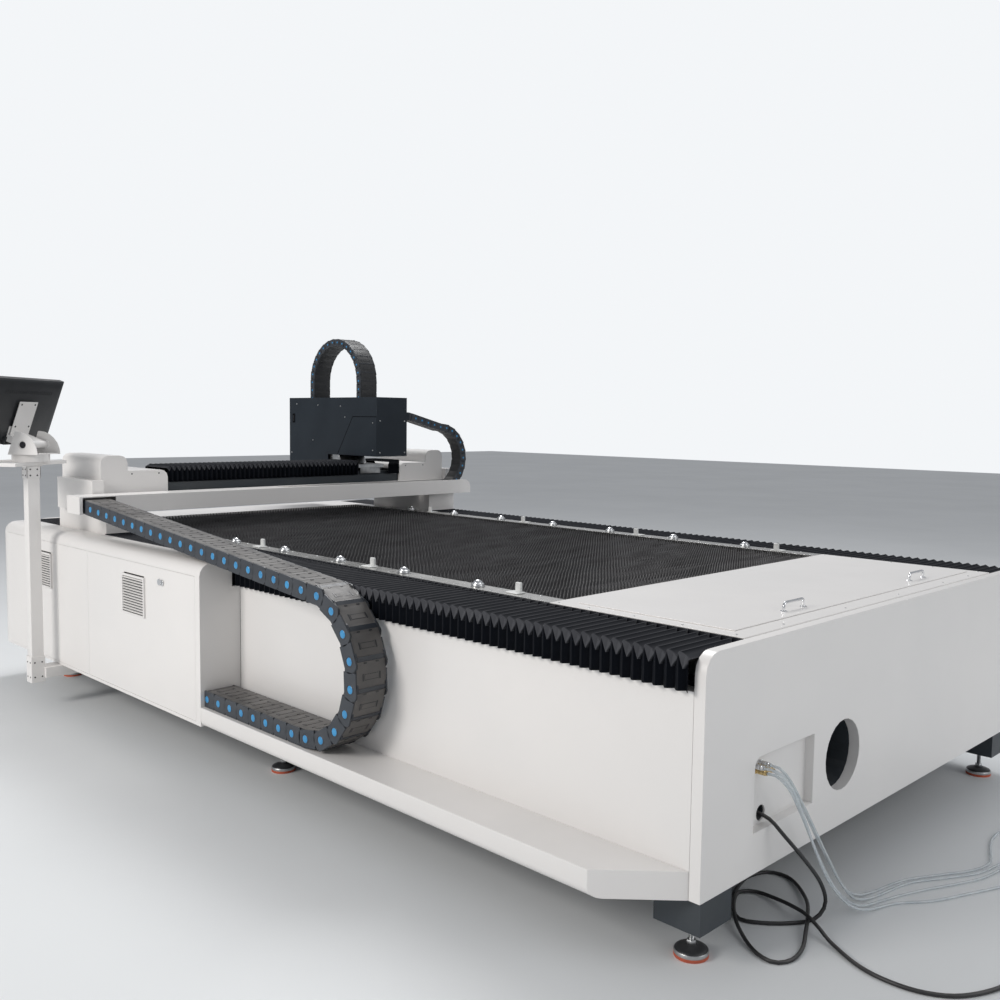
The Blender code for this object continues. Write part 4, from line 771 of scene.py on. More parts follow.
def makeSlats():
    spec = slatBed
    near, far = spec["comb"][0], flip(spec["comb"][0], True)
    tooth = (far - near) / spec["teeth"]
    edge = [(near, spec["low"]), (far, spec["low"])]
    for k in range(spec["teeth"]):
        y = far - tooth * k
        edge += [(y, spec["root"] + 0.001 * (k % 3)), (y - tooth * 0.5, spec["tip"])]
    edge.append((near, spec["root"]))
    one = bmesh.new()
    drawnOut(one, [at(spec["from"], y, z) for y, z in edge], (-spec["thick"], 0, 0))
    bm = bmesh.new()
    chance = random.Random(5)
    for k in range(round((spec["to"] - spec["from"]) / spec["pitch"]) + 1):
        lean = (-spec["pitch"] * k, chance.uniform(-0.002, 0.002), chance.uniform(-0.0012, 0.0))
        takeIn(bm, one, Matrix.Translation(lean))
    one.free()
    for mirror in (False, True):
        addBox(bm, (spec["from"] - 0.005, spec["to"] + 0.004), [flip(y, mirror) for y in spec["comb"]],
               spec["combZ"])
    for y in spec["bars"]:
        addBox(bm, (spec["from"], spec["to"]), (y, y + spec["barThick"]), spec["barZ"])
    finishPiece("slats", bm, ["slatSteel"], "bed", ["slat_grid"], 0, 20)


railParts = {
    "edge": 0.240, "lip": 0.320, "thick": 0.006, "top": 0.898, "web": 0.7605, "us": (0.7776, 4.2497),
    # first place, pitch and count along the rail, and the places across it
    "balls": (1.165, 0.42, 7, (0.28,)), "screws": (0.88, 0.19, 18, (0.252, 0.308)),
    "stops": (0.98, 0.83, 4), "stop": (0.013, 0.296, 0.3085, 0.036), "foot": (0.030, 0.262, 0.0045),
    "ball": [(0, 0.0255), (0.0070, 0.0245), (0.0125, 0.0215), (0.0165, 0.0170), (0.0185, 0.0120),
             (0.0185, 0.008), (0, 0.008)],
    "cup": [(0, 0), (0.0260, 0), (0.0265, 0.0025), (0.0245, 0.0035), (0.0238, 0.0100), (0.0222, 0.0125),
            (0.0192, 0.0130), (0.0188, 0.008), (0, 0.008)],
    "screw": [(0, 0.003), (0.0035, 0.003), (0.0045, 0.0015), (0.0045, 0), (0, 0)]}


def makeRailParts():
    spec = railParts
    top, edge, lip, low = spec["top"], spec["edge"], spec["lip"], spec["top"] - spec["thick"]
    web = edge + spec["thick"]
    profile = [(edge, spec["web"]), (web, spec["web"]), (web, low), (lip, low), (lip, top), (edge, top)]
    for side, mirror in (("near", False), ("far", True)):
        rail, balls, blocks = bmesh.new(), bmesh.new(), bmesh.new()
        drawnOut(rail, [at(spec["us"][0], flip(y, mirror), z) for y, z in profile],
                 (spec["us"][0] - spec["us"][1], 0, 0))
        for part, row, sides, tone in (("ball", "balls", 28, 0), ("cup", "balls", 32, 1),
                                       ("screw", "screws", 10, 1)):
            first, pitch, count, ys = spec[row]
            addTurned(balls, spec[part], [Matrix.Translation(at(first + pitch * k, flip(y, mirror), top))
                                          for k in range(count) for y in ys], sides, tone)
        first, pitch, count = spec["stops"]
        half, near, far, high = spec["stop"]
        footHalf, footNear, footHigh = spec["foot"]
        for u in (first + pitch * k for k in range(count)):
            addBox(blocks, (u - half, u + half), (flip(near, mirror), flip(far, mirror)),
                   (top + 0.0002, top + high))
            addBox(blocks, (u - footHalf, u + footHalf), (flip(footNear, mirror), flip(far, mirror)),
                   (top + 0.0002, top + footHigh))
        stands = [side + "_support_rail"]
        finishPiece(side + "SupportRail", rail, ["brightSteel"], "bed", stands, 0.0008)
        finishPiece(side + "BallTransfers", balls, ["chromePlate", "zincPlate"], "bed", stands, 0, 50)
        finishPiece(side + "StopBlocks", blocks, ["stopPlastic"], "bed", stands, 0.0035)


# Drag chains

longChain = {"name": "longChain", "node": "x_chain", "bodies": ("bed", "long_chain_bend", "gantry"),
             "lid": "chainLid", "links": (8, 9, 21), "pitch": 0.0955, "half": 0.035, "pin": 0.0146,
             "rings": True, "span": (-0.172, -0.0335), "ledge": 0.2923, "bend": 1.60, "radius": 0.275,
             "slope": 5.0, "start": 2.3137, "trayU": 3.520, "trayZ": 1.013,
             # the anchor: reach behind and ahead of the start, inset, thickness, heights on the ledge
             "cheek": (0.035, 0.018, 0.004, 0.006, 0.0015, 0.068),
             "plate": (0.030, 0.014, 0.008, 0.005, 0.0012, 0.0630)}
headChain = {"name": "headChain", "node": "y_chain", "bodies": ("gantry", "head_chain_bend", "head"),
             "lid": "smallChainLid", "links": (17, 12, 5), "pitch": 0.0537, "half": 0.024, "pin": 0.0062,
             "rings": False, "span": (3.535, 3.625), "low": 1.0133, "bend": 2.20, "radius": 0.205,
             "slope": 0, "start": 1.28, "end": (1.9343, 1.515)}
liftChain = {"name": "liftChain", "lid": "smallChainLid", "links": (2, 15, 3), "pitch": 0.0534,
             "half": 0.022, "pin": 0.0065, "rings": False, "span": (1.715, 1.845), "us": (3.78, 4.29),
             "foot": 1.6303, "spring": 1.735, "end": 1.575}


def sidePlate(bm, start, end, across, half, wall, tone, mirrored=False):
    # One plate of a link's side, round about its pivot
    turns = [math.pi * (0.5 + k / 8) for k in range(9)]
    points = [(start + half * 0.55 * math.cos(t), half * math.sin(t)) for t in turns]
    points += [(end, -half), (end, half)]
    if mirrored:
        points = [(start + end - x, z) for x, z in points]
    drawnOut(bm, [(x, across, z) for x, z in points], (0, wall, 0), tone)


def chainLink(pitch, half, edge, pin, rings):
    # Finishes: 0 lid, 1 side plate, 2 pin, 3 clip
    bm = bmesh.new()
    wall, plate = edge * 0.07, half * 0.97
    inside = edge - 2.2 * wall
    cap = [(0, wall * 0.42), (pin * 0.55, wall * 0.42), (pin * 0.85, wall * 0.30), (pin, 0),
           (pin, -wall * 0.2), (0, -wall * 0.2)]
    ring = [(pin * r, h) for r, h in ((1.14, 0.0002), (1.19, 0.0009), (1.30, 0.0009), (1.36, 0.0002),
                                      (1.36, -0.001), (1.14, -0.001), (1.14, 0.0002))]
    for side in (-1, 1):
        outer = edge - wall if side > 0 else -edge
        inner = edge - 2.1 * wall if side > 0 else -edge + 1.1 * wall
        sidePlate(bm, -plate * 0.62, pitch * 0.62, outer, plate, wall, 1)
        # a dark plate just behind the outer one shows round its end as a painted shadow line at the link's joint
        sidePlate(bm, -plate * 0.72, pitch * 0.50, outer - side * 0.45 * wall, plate * 0.995, wall, 3)
        sidePlate(bm, pitch * 0.45, pitch + plate * 0.55, inner, plate * 0.96, wall, 1, True)
        place = facing((0, side, 0), Vector((0, side * edge, 0)))
        addTurned(bm, cap, [place], 14, 2)
        if rings:
            addTurned(bm, ring, [place], 18, 1)
        lid = plainBlock(bm, (pitch * 0.02, pitch * 0.99), (-inside - wall, inside + wall),
                         sorted((side * (half - 0.0055), side * (half - 0.0005))))
        top = [f for f in {f for v in lid for f in v.link_faces} if f.normal.z * side > 0.9]
        for inset, push in ((0.07, -0.030), (0.05, 0.030)):
            bmesh.ops.inset_region(bm, faces=top, thickness=pitch * inset, use_even_offset=True)
            bmesh.ops.translate(bm, vec=(0, 0, side * half * push), verts=top[0].verts[:])
        # start and end in pitches, middle in inner widths, half width, depths below the lid, finish
        for start, end, middle, reach, low, high, tone in (
                (0.94, 1.17, 0, inside * 0.98, 0.0048, 0.0024, 1),
                (0.30, 0.56, -0.62, wall * 0.55, 0.0035, -half * 0.012, 3),
                (0.30, 0.56, 0.62, wall * 0.55, 0.0035, -half * 0.012, 3),
                (0.91, 0.96, -0.45, inside * 0.10, 0.0035, -half * 0.010, 3),
                (0.91, 0.96, 0.45, inside * 0.10, 0.0035, -half * 0.010, 3),
                (0.32, 0.54, 0, inside * 0.52, 0.0015, 0.0001, 3),
                (0.34, 0.52, 0, inside * 0.50, 0.0015, -0.0004, 0)):
            y = inside * middle
            plainBlock(bm, (pitch * start, pitch * end), (y - reach, y + reach),
                       sorted((side * (half - low), side * (half - high))), tone)
    return bm


def chainRun(part, spec, pivots, middle, across, body, node):
    # Links from pivot to pivot, each one turned so that its upper lid faces away from the middle
    edge = (spec["span"][1] - spec["span"][0]) / 2
    link = chainLink(spec["pitch"], spec["half"], edge, spec["pin"], spec["rings"])
    bm = bmesh.new()
    for a, b in zip(pivots, pivots[1:]):
        side = across
        up = (b - a).normalized().cross(side)
        if up.dot((a + b) / 2 - middle) < 0:
            side, up = -side, -up
        turn = Matrix(((b - a) / spec["pitch"], side, up)).transposed().to_4x4()
        takeIn(bm, link, Matrix.Translation(a) @ turn)
    link.free()
    return finishPiece(spec["name"] + part, bm, [spec["lid"], "chainSide", "chainPin", "chainClip"],
                       body, [node], 0, 30)


def splitRun(first, last, count):
    return [first.lerp(last, k / count) for k in range(count + 1)]


def arcPoints(middle, radius, flat, first, last, count):
    # Points round a middle, in the plane of a level direction and the vertical
    turns = [first + (last - first) * k / count for k in range(count + 1)]
    return [middle + radius * (math.cos(t) * flat + math.sin(t) * upright) for t in turns]


def makeLoop(spec, start, middle, end, flat, across):
    # Two runs and the bend between them, which moves at half the travel
    lower, bend, upper = spec["links"]
    fixed, rolling, moving = spec["bodies"]
    last = math.pi / 2 + math.radians(spec["slope"])
    arc = arcPoints(middle, spec["radius"], flat, -math.pi / 2, last, bend)
    run = chainRun("Lower", spec, splitRun(start, arc[0], lower), middle, across, None,
                   spec["node"] + "_lower_run")
    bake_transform(run, fixed, rolling, tuple(start), tuple(arc[0]))
    chainRun("Bend", spec, arc, middle, across, rolling, spec["node"] + "_bend")
    run = chainRun("Upper", spec, splitRun(arc[-1], end, upper), middle, across, None,
                   spec["node"] + "_upper_run")
    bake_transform(run, fixed, moving, tuple(arc[-1] * 2 - end), tuple(end))


def makeLongChain():
    spec = longChain
    near, far = spec["span"]
    y, ledge = (near + far) / 2, spec["ledge"]
    low = ledge + spec["half"]
    makeLoop(spec, at(spec["start"], y, low), at(spec["bend"], y, low + spec["radius"]),
             at(spec["trayU"], y, spec["trayZ"] + spec["half"]), Vector((1, 0, 0)), Vector((0, 1, 0)))
    # the anchor on the ledge: two cheeks and two plates
    bm = bmesh.new()
    back, ahead, inset, thick, bottom, top = spec["cheek"]
    for y0 in (near + inset, far - inset - thick):
        addBox(bm, (spec["start"] - back, spec["start"] + ahead), (y0, y0 + thick),
               (ledge + bottom, ledge + top))
    back, ahead, inset, thick, *heights = spec["plate"]
    for z in (ledge + height for height in heights):
        addBox(bm, (spec["start"] - back, spec["start"] + ahead), (near + inset, far - inset),
               (z, z + thick))
    finishPiece("longChainAnchor", bm, ["chainClip"], "bed", (), 0.0015)


def makeHeadChain():
    spec = headChain
    u, low = sum(spec["span"]) / 2, spec["low"] + spec["half"]
    makeLoop(spec, at(u, spec["start"], low), at(u, spec["bend"], low + spec["radius"]),
             at(u, *spec["end"]), Vector((0, 1, 0)), Vector((1, 0, 0)))


def makeLiftChain():
    spec = liftChain
    y, spring = sum(spec["span"]) / 2, spec["spring"]
    u0, u1 = spec["us"]
    rising, around, falling = spec["links"]
    middle = at((u0 + u1) / 2, y, spring)
    path = splitRun(at(u0, y, spec["foot"]), at(u0, y, spring), rising)
    path += arcPoints(middle, (u1 - u0) / 2, Vector((1, 0, 0)), 0, math.pi, around)[1:-1]
    path += splitRun(at(u1, y, spring), at(u1, y, spec["end"]), falling)
    arch = chainRun("", spec, path, middle, Vector((0, 1, 0)), None, "z_chain")
    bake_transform(arch, "head", "lifting_slide", tuple(at(u1, y, spring)), tuple(at(u1, y, spec["end"] + 0.01)))


# Solids that keep their shape, with rounded edges and their finish

plainParts = (
    # finish, edge rounding, nodes
    ("whitePaint", 0.0012, "near_side_panel far_side_panel"),
    ("whitePaint", 0.0020, "rear_end_plate"),
    ("whitePaint", 0.0015, "front_cover"),
    ("whitePaint", 0.0020, "chain_ledge"),
    ("whitePaint", 0.0010, "cabinet_housing cabinet_door service_panel rear_cover lift_out_hatch"),
    ("whitePaint", 0.0020, "near_carriage far_carriage"),
    ("whitePaint", 0.0012, "near_carriage_cover far_carriage_cover"),
    ("whitePaint", 0.0010, "chain_tray"),
    ("bedPaint", 0.0020, "gantry_beam"),
    ("hoodPaint", 0.0012, "head_cover"),
    ("zincPlate", 0.0012, "head_saddle"),
    ("brightSteel", 0.0012, "cutting_head"),
    ("whitePaint", 0.0010, "stand_socket"),
    ("whitePaint", 0.0030, "stand_post"),
    ("whitePaint", 0.0010, "keyboard_tray screen_bracket"),
    ("hoodPaint", 0.0020, "laser_source"),
    ("zincPlate", 0.0010, "electrical_panel"),
    ("chromePlate", 0.0006, "door_lock"),
)


def dressParts():
    # Copies of the solids with welded triangles and rounded edges stand for them
    for coat, rounding, nodes in plainParts:
        for node in nodes.split():
            bm = bmesh.new()
            bm.from_mesh(frame["nodes"][node].data)
            bmesh.ops.remove_doubles(bm, verts=bm.verts[:], dist=2e-5)
            bmesh.ops.dissolve_limit(bm, angle_limit=math.radians(1.0), verts=bm.verts[:],
                                     edges=bm.edges[:])
            finishPiece(node + "_dressed", bm, [coat], bodyOf(node), [node], rounding)
    data = frame["nodes"]["bed_frame"].data
    data.materials.clear()
    data.materials.append(finish("bedPaint"))


levelFoot = {
    "base": [(0, 0), (0.049, 0), (0.050, 0.002), (0.050, 0.009), (0.048, 0.0105), (0, 0.0105)],
    "rim": [(0, 0.0100), (0.0495, 0.0100), (0.0500, 0.0115), (0.0497, 0.0185), (0.0485, 0.0205),
            (0, 0.0205)],
    "dome": [(0, 0.020), (0.0475, 0.020), (0.0455, 0.0235), (0.0360, 0.0275), (0.0240, 0.0310),
             (0.0170, 0.0330), (0.0150, 0.0350), (0, 0.0350)],
    "nut": (0.0128, 0.0143, 0.0018), "nuts": ((0.035, 0.012), (0.0925, 0.0125)),
    "thread": (0.0080, 0.0355, 0.0070, 0.0369, 0.0028, 25, 0.034, 0.1055)}


def makeFeet():
    spec = levelFoot
    crest, crestLow, root, rootLow, pitch, count, low, high = spec["thread"]
    thread = [(0, low)]
    for k in range(count):
        thread += [(crest, crestLow + pitch * k), (root, rootLow + pitch * k)]
    thread += [(root, high), (0, high)]
    shapes = [(spec["base"], 40, 0), (spec["rim"], 40, 1), (spec["dome"], 40, 2), (thread, 16, 1)]
    flat, corner, cut = spec["nut"]
    for low, tall in spec["nuts"]:
        high = low + tall
        shapes.append(([(0, low), (flat, low), (corner, low + cut), (corner, high - cut), (flat, high),
                        (0, high)], 6, 1))
    for side in ("near", "far"):
        for place in ("rear", "middle", "front"):
            node = f"foot_{side}_{place}"
            least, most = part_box(node)
            spot = Matrix.Translation(((least.x + most.x) / 2, (least.y + most.y) / 2, least.z))
            bm = bmesh.new()
            for profile, edges, tone in shapes:
                addTurned(bm, profile, [spot], edges, tone)
            finishPiece(f"{side}_{place}_foot", bm, ["footRubber", "zincPlate", "blackPlastic"], "bed",
                        [node], 0, 40)


# Operator's stand

standPlan = {
    "u": 3.82, "y": -0.302, "yaw": -53.13, "lean": 20.0, "shaft": (0.020, 1.3486),
    "screen": (0.58, 0.345), "front": -0.145, "back": -0.105, "low": -0.042,
    "slots": (24, 0.19, 0.002), "half": 0.030, "cap": (1.180, 1.2385), "wall": (0.0003, 0.004),
    "capScrews": ((0.017, 1.194, 0.004), (0.017, 1.2245, 0.004), (0.018, 0.165, 0.0043),
                  (0.018, 0.240, 0.0043)),
    # x, y beyond the screen's back, z, on the swivelling screen
    "mount": (((-0.075, 0.075), (0.0105, 0.014), (-0.018, 0.192)),
              ((-0.050, 0.050), (0, 0.0108), (0.020, 0.150)),
              ((-0.0865, -0.0815), (0.004, 0.119), (-0.017, 0.017)),
              ((0.0815, 0.0865), (0.004, 0.119), (-0.017, 0.017)),
              ((-0.084, 0.084), (0.004, 0.099), (0.0145, 0.0175)),
              ((-0.084, 0.084), (0.001, 0.0045), (-0.017, 0.060))),
    # profile, places along the shaft, sides, finish
    "shaftParts": (([(0.0169, 0), (0.0200, 0), (0.0200, 0.005), (0.0169, 0.005), (0.0169, 0)],
                    (-0.0975, 0.0925), 28, 0),
                   ([(0, 0.001), (0.0185, 0.001), (0.0185, 0.189), (0, 0.189)], (-0.095,), 24, 0),
                   ([(0, 0), (0.0168, 0), (0.0168, 0.002), (0, 0.002)], (-0.0978, 0.0958), 24, 1)),
}


def onShaft():
    spec = standPlan
    y, z = spec["shaft"]
    return (Matrix.Translation(at(spec["u"], spec["y"], 0))
            @ Matrix.Rotation(math.radians(spec["yaw"]), 4, "Z") @ Matrix.Translation((0, y, z))
            @ Matrix.Rotation(-math.radians(spec["lean"]), 4, "X"))


def makeScreen():
    spec = standPlan
    wide, tall = spec["screen"]
    low, back = spec["low"], spec["back"]
    high = low + tall
    bm = bmesh.new()
    made = plainBlock(bm, (-wide / 2, wide / 2), (spec["front"], back - 0.012), (low, high))
    faces = {f for v in made for f in v.link_faces}
    glass = [f for f in faces if f.normal.y < -0.9]
    rear = [f for f in faces if f.normal.y > 0.9]
    for region, inset, push in ((glass, 0.014, 0), (glass, 0.0015, 0.003), (rear, 0.010, 0.006),
                                (rear, 0.040, 0.0058)):
        bmesh.ops.inset_region(bm, faces=region, thickness=inset, use_even_offset=True)
        bmesh.ops.translate(bm, vec=(0, push, 0), verts=region[0].verts[:])
    glass[0].material_index = 1
    count, reach, half = spec["slots"]
    for k in range(count):
        x = -reach + 2 * reach * k / (count - 1)
        plainBlock(bm, (x - half, x + half), (back - 0.002, back + 0.0006), (high - 0.075, high - 0.055), 2)
    plainBlock(bm, (-0.10, 0.10), (back - 0.004, back + 0.010), (low + 0.006, low + 0.046))
    bmesh.ops.transform(bm, matrix=onShaft(), verts=bm.verts[:])
    finishPiece("screenBody", bm, ["blackPlastic", "screenGlass", "blackScrew"], "screen", ["monitor"],
                0.0015)
    bm = bmesh.new()
    for xs, (near, far), zs in spec["mount"]:
        plainBlock(bm, xs, (back + near, back + far), zs)
    for profile, places, edges, tone in spec["shaftParts"]:
        addTurned(bm, profile, [facing((1, 0, 0), Vector((x, 0, 0))) for x in places], edges, tone)
    addScrews(bm, [Vector((x, back + 0.014, z)) for x in (-0.055, 0.055) for z in (0.005, 0.062, 0.178)],
              (0, 1, 0), 0.0050, 1)
    bmesh.ops.transform(bm, matrix=onShaft(), verts=bm.verts[:])
    finishPiece("screenMount", bm, ["whitePaint", "blackScrew"], "screen", (), 0.0008)


def makePostCap():
    spec = standPlan
    u, y = spec["u"], spec["y"]
    inner, outer = (spec["half"] + gap for gap in spec["wall"])
    bm = bmesh.new()
    for side in (-1, 1):
        addBox(bm, (u + side * inner, u + side * outer), (y - outer, y + outer), spec["cap"])
        addBox(bm, (u - outer, u + outer), (y + side * inner, y + side * outer), spec["cap"])
        for reach, z, out in spec["capScrews"]:
            face = spec["half"] + out
            addScrews(bm, [at(u - face, y + side * reach, z)], (1, 0, 0), 0.0040, 1)
            addScrews(bm, [at(u + side * reach, y - face, z)], (0, -1, 0), 0.0040, 1)
    finishPiece("postCap", bm, ["whitePaint", "blackScrew"], "bed", (), 0.0010)


# Doors, lock and laser source

ventPlan = {"us": (2.932, 3.984), "bodies": ("door", "bed"), "half": 0.111, "low": 0.597,
            "high": 0.779, "face": -0.1903, "deep": 0.0085, "inset": 0.003, "sheet": 0.0012,
            "stile": 0.009, "lap": 0.008, "sill": 0.007, "head": 0.010, "blades": 13, "room": 0.020,
            "blade": ((-0.0015, 0.86), (0.0004, 0.52), (0.0004, 0.36), (-0.0015, 0.66))}


def makeVents():
    spec = ventPlan
    low, high, face, lap, inset = (spec[k] for k in ("low", "high", "face", "lap", "inset"))
    out = face - spec["deep"]
    for u, body, name in zip(spec["us"], spec["bodies"], ("rearVent", "frontVent")):
        bm = bmesh.new()
        u0, u1 = u - spec["half"], u + spec["half"]
        # a black sheet behind the blades: painted shade seen through the openings
        addBox(bm, (u0 + inset, u1 - inset), (face - spec["sheet"], face), (low + inset, high - inset), 1)
        for us, zs in (((u0, u0 + spec["stile"]), (low, high)), ((u1 - spec["stile"], u1), (low, high)),
                       ((u0 + lap, u1 - lap), (low, low + spec["sill"])),
                       ((u0 + lap, u1 - lap), (high - spec["head"], high))):
            addBox(bm, us, (out, face), zs)
        step = (high - low - spec["room"]) / spec["blades"]
        for k in range(spec["blades"]):
            z = low + lap + step * k
            blade = [(face if shift < 0 else out, shift, z + step * share) for shift, share in spec["blade"]]
            drawnOut(bm, [at(u0 + lap, a + shift, b) for a, shift, b in blade], (u0 - u1 + 2 * lap, 0, 0))
        finishPiece(name, bm, ["whitePaint", "blackPlastic"], body, (), 0.0008)


def makeLockFace():
    low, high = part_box("door_lock")
    x, half = (low.x + high.x) / 2, 0.0016
    radius, z, slot = 0.0138, 0.777, (0.7705, 0.7835)
    bm = bmesh.new()
    addTurned(bm, [(0, 0.0012), (radius * 0.62, 0.0012), (radius * 0.66, 0.0022), (radius * 0.86, 0.0022),
                   (radius, 0.0008), (radius, -0.0015), (0, -0.0015)],
              [facing((0, -1, 0), Vector((x, low.y, z)))], 36)
    plainBlock(bm, (x - half, x + half), (low.y - half, low.y), slot, 1)
    finishPiece("lockFace", bm, ["chromePlate", "blackScrew"], "lock")


laserPlan = {"us": (2.58, 3.26), "face": -0.1503, "fans": (2.76, 3.08), "fanZ": 0.40, "fanR": 0.085,
             "wire": 0.0015, "rings": 6, "screws": 0.078, "plate": (0.640, 0.715),
             "display": (0.652, 0.703), "knobs": (4, 0.26, 0.055, 0.678), "sockets": (3, 0.17, 0.05, 0.035),
             "socketZ": (0.664, 0.690)}


def makeLaserFront():
    spec = laserPlan
    u0, u1 = spec["us"]
    face, fanZ, fanR, wire = spec["face"], spec["fanZ"], spec["fanR"], spec["wire"]
    out = (0, -1, 0)
    bm = bmesh.new()
    for u in spec["fans"]:
        place = facing(out, at(u, face, fanZ))
        for k in range(spec["rings"]):
            inner = fanR * (k + 1) / spec["rings"] - wire
            outer = inner + 2 * wire
            addTurned(bm, [(inner, -0.0010), (inner, 0.0030), (outer, 0.0030), (outer, -0.0010),
                           (inner, -0.0010)], [place], 40, 1)
        addTurned(bm, [(0, 0.0006), (fanR, 0.0006), (fanR, -0.0010), (0, -0.0010)], [place], 40, 2)
        for du, dz in ((fanR + wire, wire), (wire, fanR + wire)):
            addBox(bm, (u - du, u + du), (face - 0.0035, face), (fanZ - dz, fanZ + dz), 1)
        reach = (-spec["screws"], spec["screws"])
        addScrews(bm, [at(u + a, face, fanZ + b) for a in reach for b in reach], out, 0.0050, 1)
    addBox(bm, (u0 + 0.020, u1 - 0.020), (face - 0.0020, face), spec["plate"])
    addBox(bm, (u0 + 0.050, u0 + 0.190), (face - 0.0032, face), spec["display"], 3)
    count, first, pitch, z = spec["knobs"]
    for k in range(count):
        addTurned(bm, [(0, 0.010), (0.0075, 0.010), (0.0085, 0.008), (0.0090, 0), (0, 0)],
                  [facing(out, at(u0 + first + pitch * k, face, z))], 20, 2 if k else 4)
    count, first, pitch, wide = spec["sockets"]
    for k in range(count):
        u = u1 - first + pitch * k
        addBox(bm, (u, u + wide), (face - 0.008, face), spec["socketZ"], 2)
    finishPiece("laserFront", bm, ["zincPlate", "chromePlate", "blackPlastic", "screenGlass", "footRubber"],
                "bed", (), 0.0006)


# Handles and fittings

handlePlan = {"nodes": ("hatch_handle_near", "hatch_handle_far"), "rod": 0.0050, "sides": 14,
              "foot": 0.0115, "bend": 0.014, "sunk": 0.001}


def sweptRod(bm, points, radius, sides):
    # A round bar along points that lie in one plane, with closed ends
    rings = []
    for k, point in enumerate(points):
        ahead = points[min(k + 1, len(points) - 1)] - points[max(k - 1, 0)]
        turn = ahead.to_track_quat("Z", "X").to_matrix()
        rings.append([bm.verts.new(point + turn @ (radius * Vector((math.cos(a), math.sin(a), 0))))
                      for a in (2 * math.pi * j / sides for j in range(sides))])
    for ring, after in zip(rings, rings[1:]):
        near = min(range(sides), key=lambda j: (after[j].co - ring[0].co).length)
        after[:] = after[near:] + after[:near]
        for j in range(sides):
            bm.faces.new((ring[j], ring[(j + 1) % sides], after[(j + 1) % sides], after[j]))
    bm.faces.new(rings[0][::-1])
    bm.faces.new(rings[-1])


def makeHandles():
    spec = handlePlan
    bend, foot = spec["bend"], spec["foot"]
    for node in spec["nodes"]:
        low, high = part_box(node)
        x, base, top = (low.x + high.x) / 2, low.z + spec["sunk"], high.z - spec["rod"] - bend
        y0, y1 = low.y + foot, high.y - foot
        points = [Vector((x, y0, base))]
        for middle, start in ((y0 + bend, math.pi), (y1 - bend, math.pi / 2)):
            for turn in (start - math.pi / 2 * k / 6 for k in range(7)):
                points.append(Vector((x, middle + bend * math.cos(turn), top + bend * math.sin(turn))))
        points.append(Vector((x, y1, base)))
        bm = bmesh.new()
        sweptRod(bm, points, spec["rod"], spec["sides"])
        addTurned(bm, [(0, 0.003), (0.0060, 0.003), (0.0065, 0.0022), (foot - 0.001, 0.0020),
                       (foot, 0.0010), (foot, 0), (0, 0)],
                  [Matrix.Translation((x, y, low.z)) for y in (y0, y1)], 24)
        finishPiece(node.replace("hatch_", "") + "_bar", bm, ["chromePlate"], bodyOf(node), [node], 0, 40)


fittingPlan = {
    "wall": 0.0300, "chrome": ((0.284, 0.523), (0.322, 0.523)),
    "brass": ((0.303, 0.503), (0.341, 0.503)),
    "nut": [(0, 0.001), (0.0086, 0.001), (0.0092, 0.0022), (0.0092, 0.0108), (0.0086, 0.012), (0, 0.012)],
    "body": [(0, 0.011), (0.0058, 0.011), (0.0058, 0.0150), (0.0076, 0.0158), (0.0076, 0.0300),
             (0.0068, 0.0312), (0.0068, 0.0330), (0.0078, 0.0336), (0.0078, 0.0385), (0.0062, 0.0395),
             (0.0062, 0.0450), (0.0041, 0.0450), (0.0041, 0.0390), (0, 0.0390)]}


def makeFittings():
    spec = fittingPlan
    for kind, finishName in (("chrome", "chromePlate"), ("brass", "brassTurned")):
        bm = bmesh.new()
        places = [facing((1, 0, 0), at(spec["wall"], y, z)) for y, z in spec[kind]]
        addTurned(bm, spec["nut"], places, 6)
        addTurned(bm, spec["body"], places, 28)
        finishPiece(kind + "Fittings", bm, [finishName], "bed", ["air_fittings"], 0, 35)


# Hood and cutting head

hoodPlan = {"us": (3.52, 4.48), "ys": (1.66, 1.90), "lift": 0.0012, "seamLift": 0.00042,
            "panel": ((3.764, 1.506), (3.524, 1.506), (3.524, 1.266), (3.924, 1.266)),
            "seam": ((3.768, 1.5105), (3.524, 1.5105), (3.524, 1.266), (3.931, 1.266)),
            "screws": ((4.391, 1.589), (4.146, 1.582), (3.897, 1.575), (3.848, 1.505), (4.204, 1.350),
                       (4.455, 1.262), (3.560, 1.300), (3.560, 1.470)),
            "panelEnd": 3.75, "rearScrews": ((1.685, 1.882), (1.483, 1.285)),
            "frontScrews": ((1.69, 1.87), (1.10, 1.35, 1.60)),
            "slits": (1.395, 1.400, 1.405), "slitUs": (4.06, 4.40),
            # a recessed black grip in a thin near-black frame, painted shade for the recess: u, y from the near
            # face, z, finish
            "latch": (((4.415, 4.441), (-0.0022, 0.001), (1.464, 1.524), 2),
                      ((4.421, 4.435), (-0.0030, -0.0018), (1.474, 1.514), 3))}


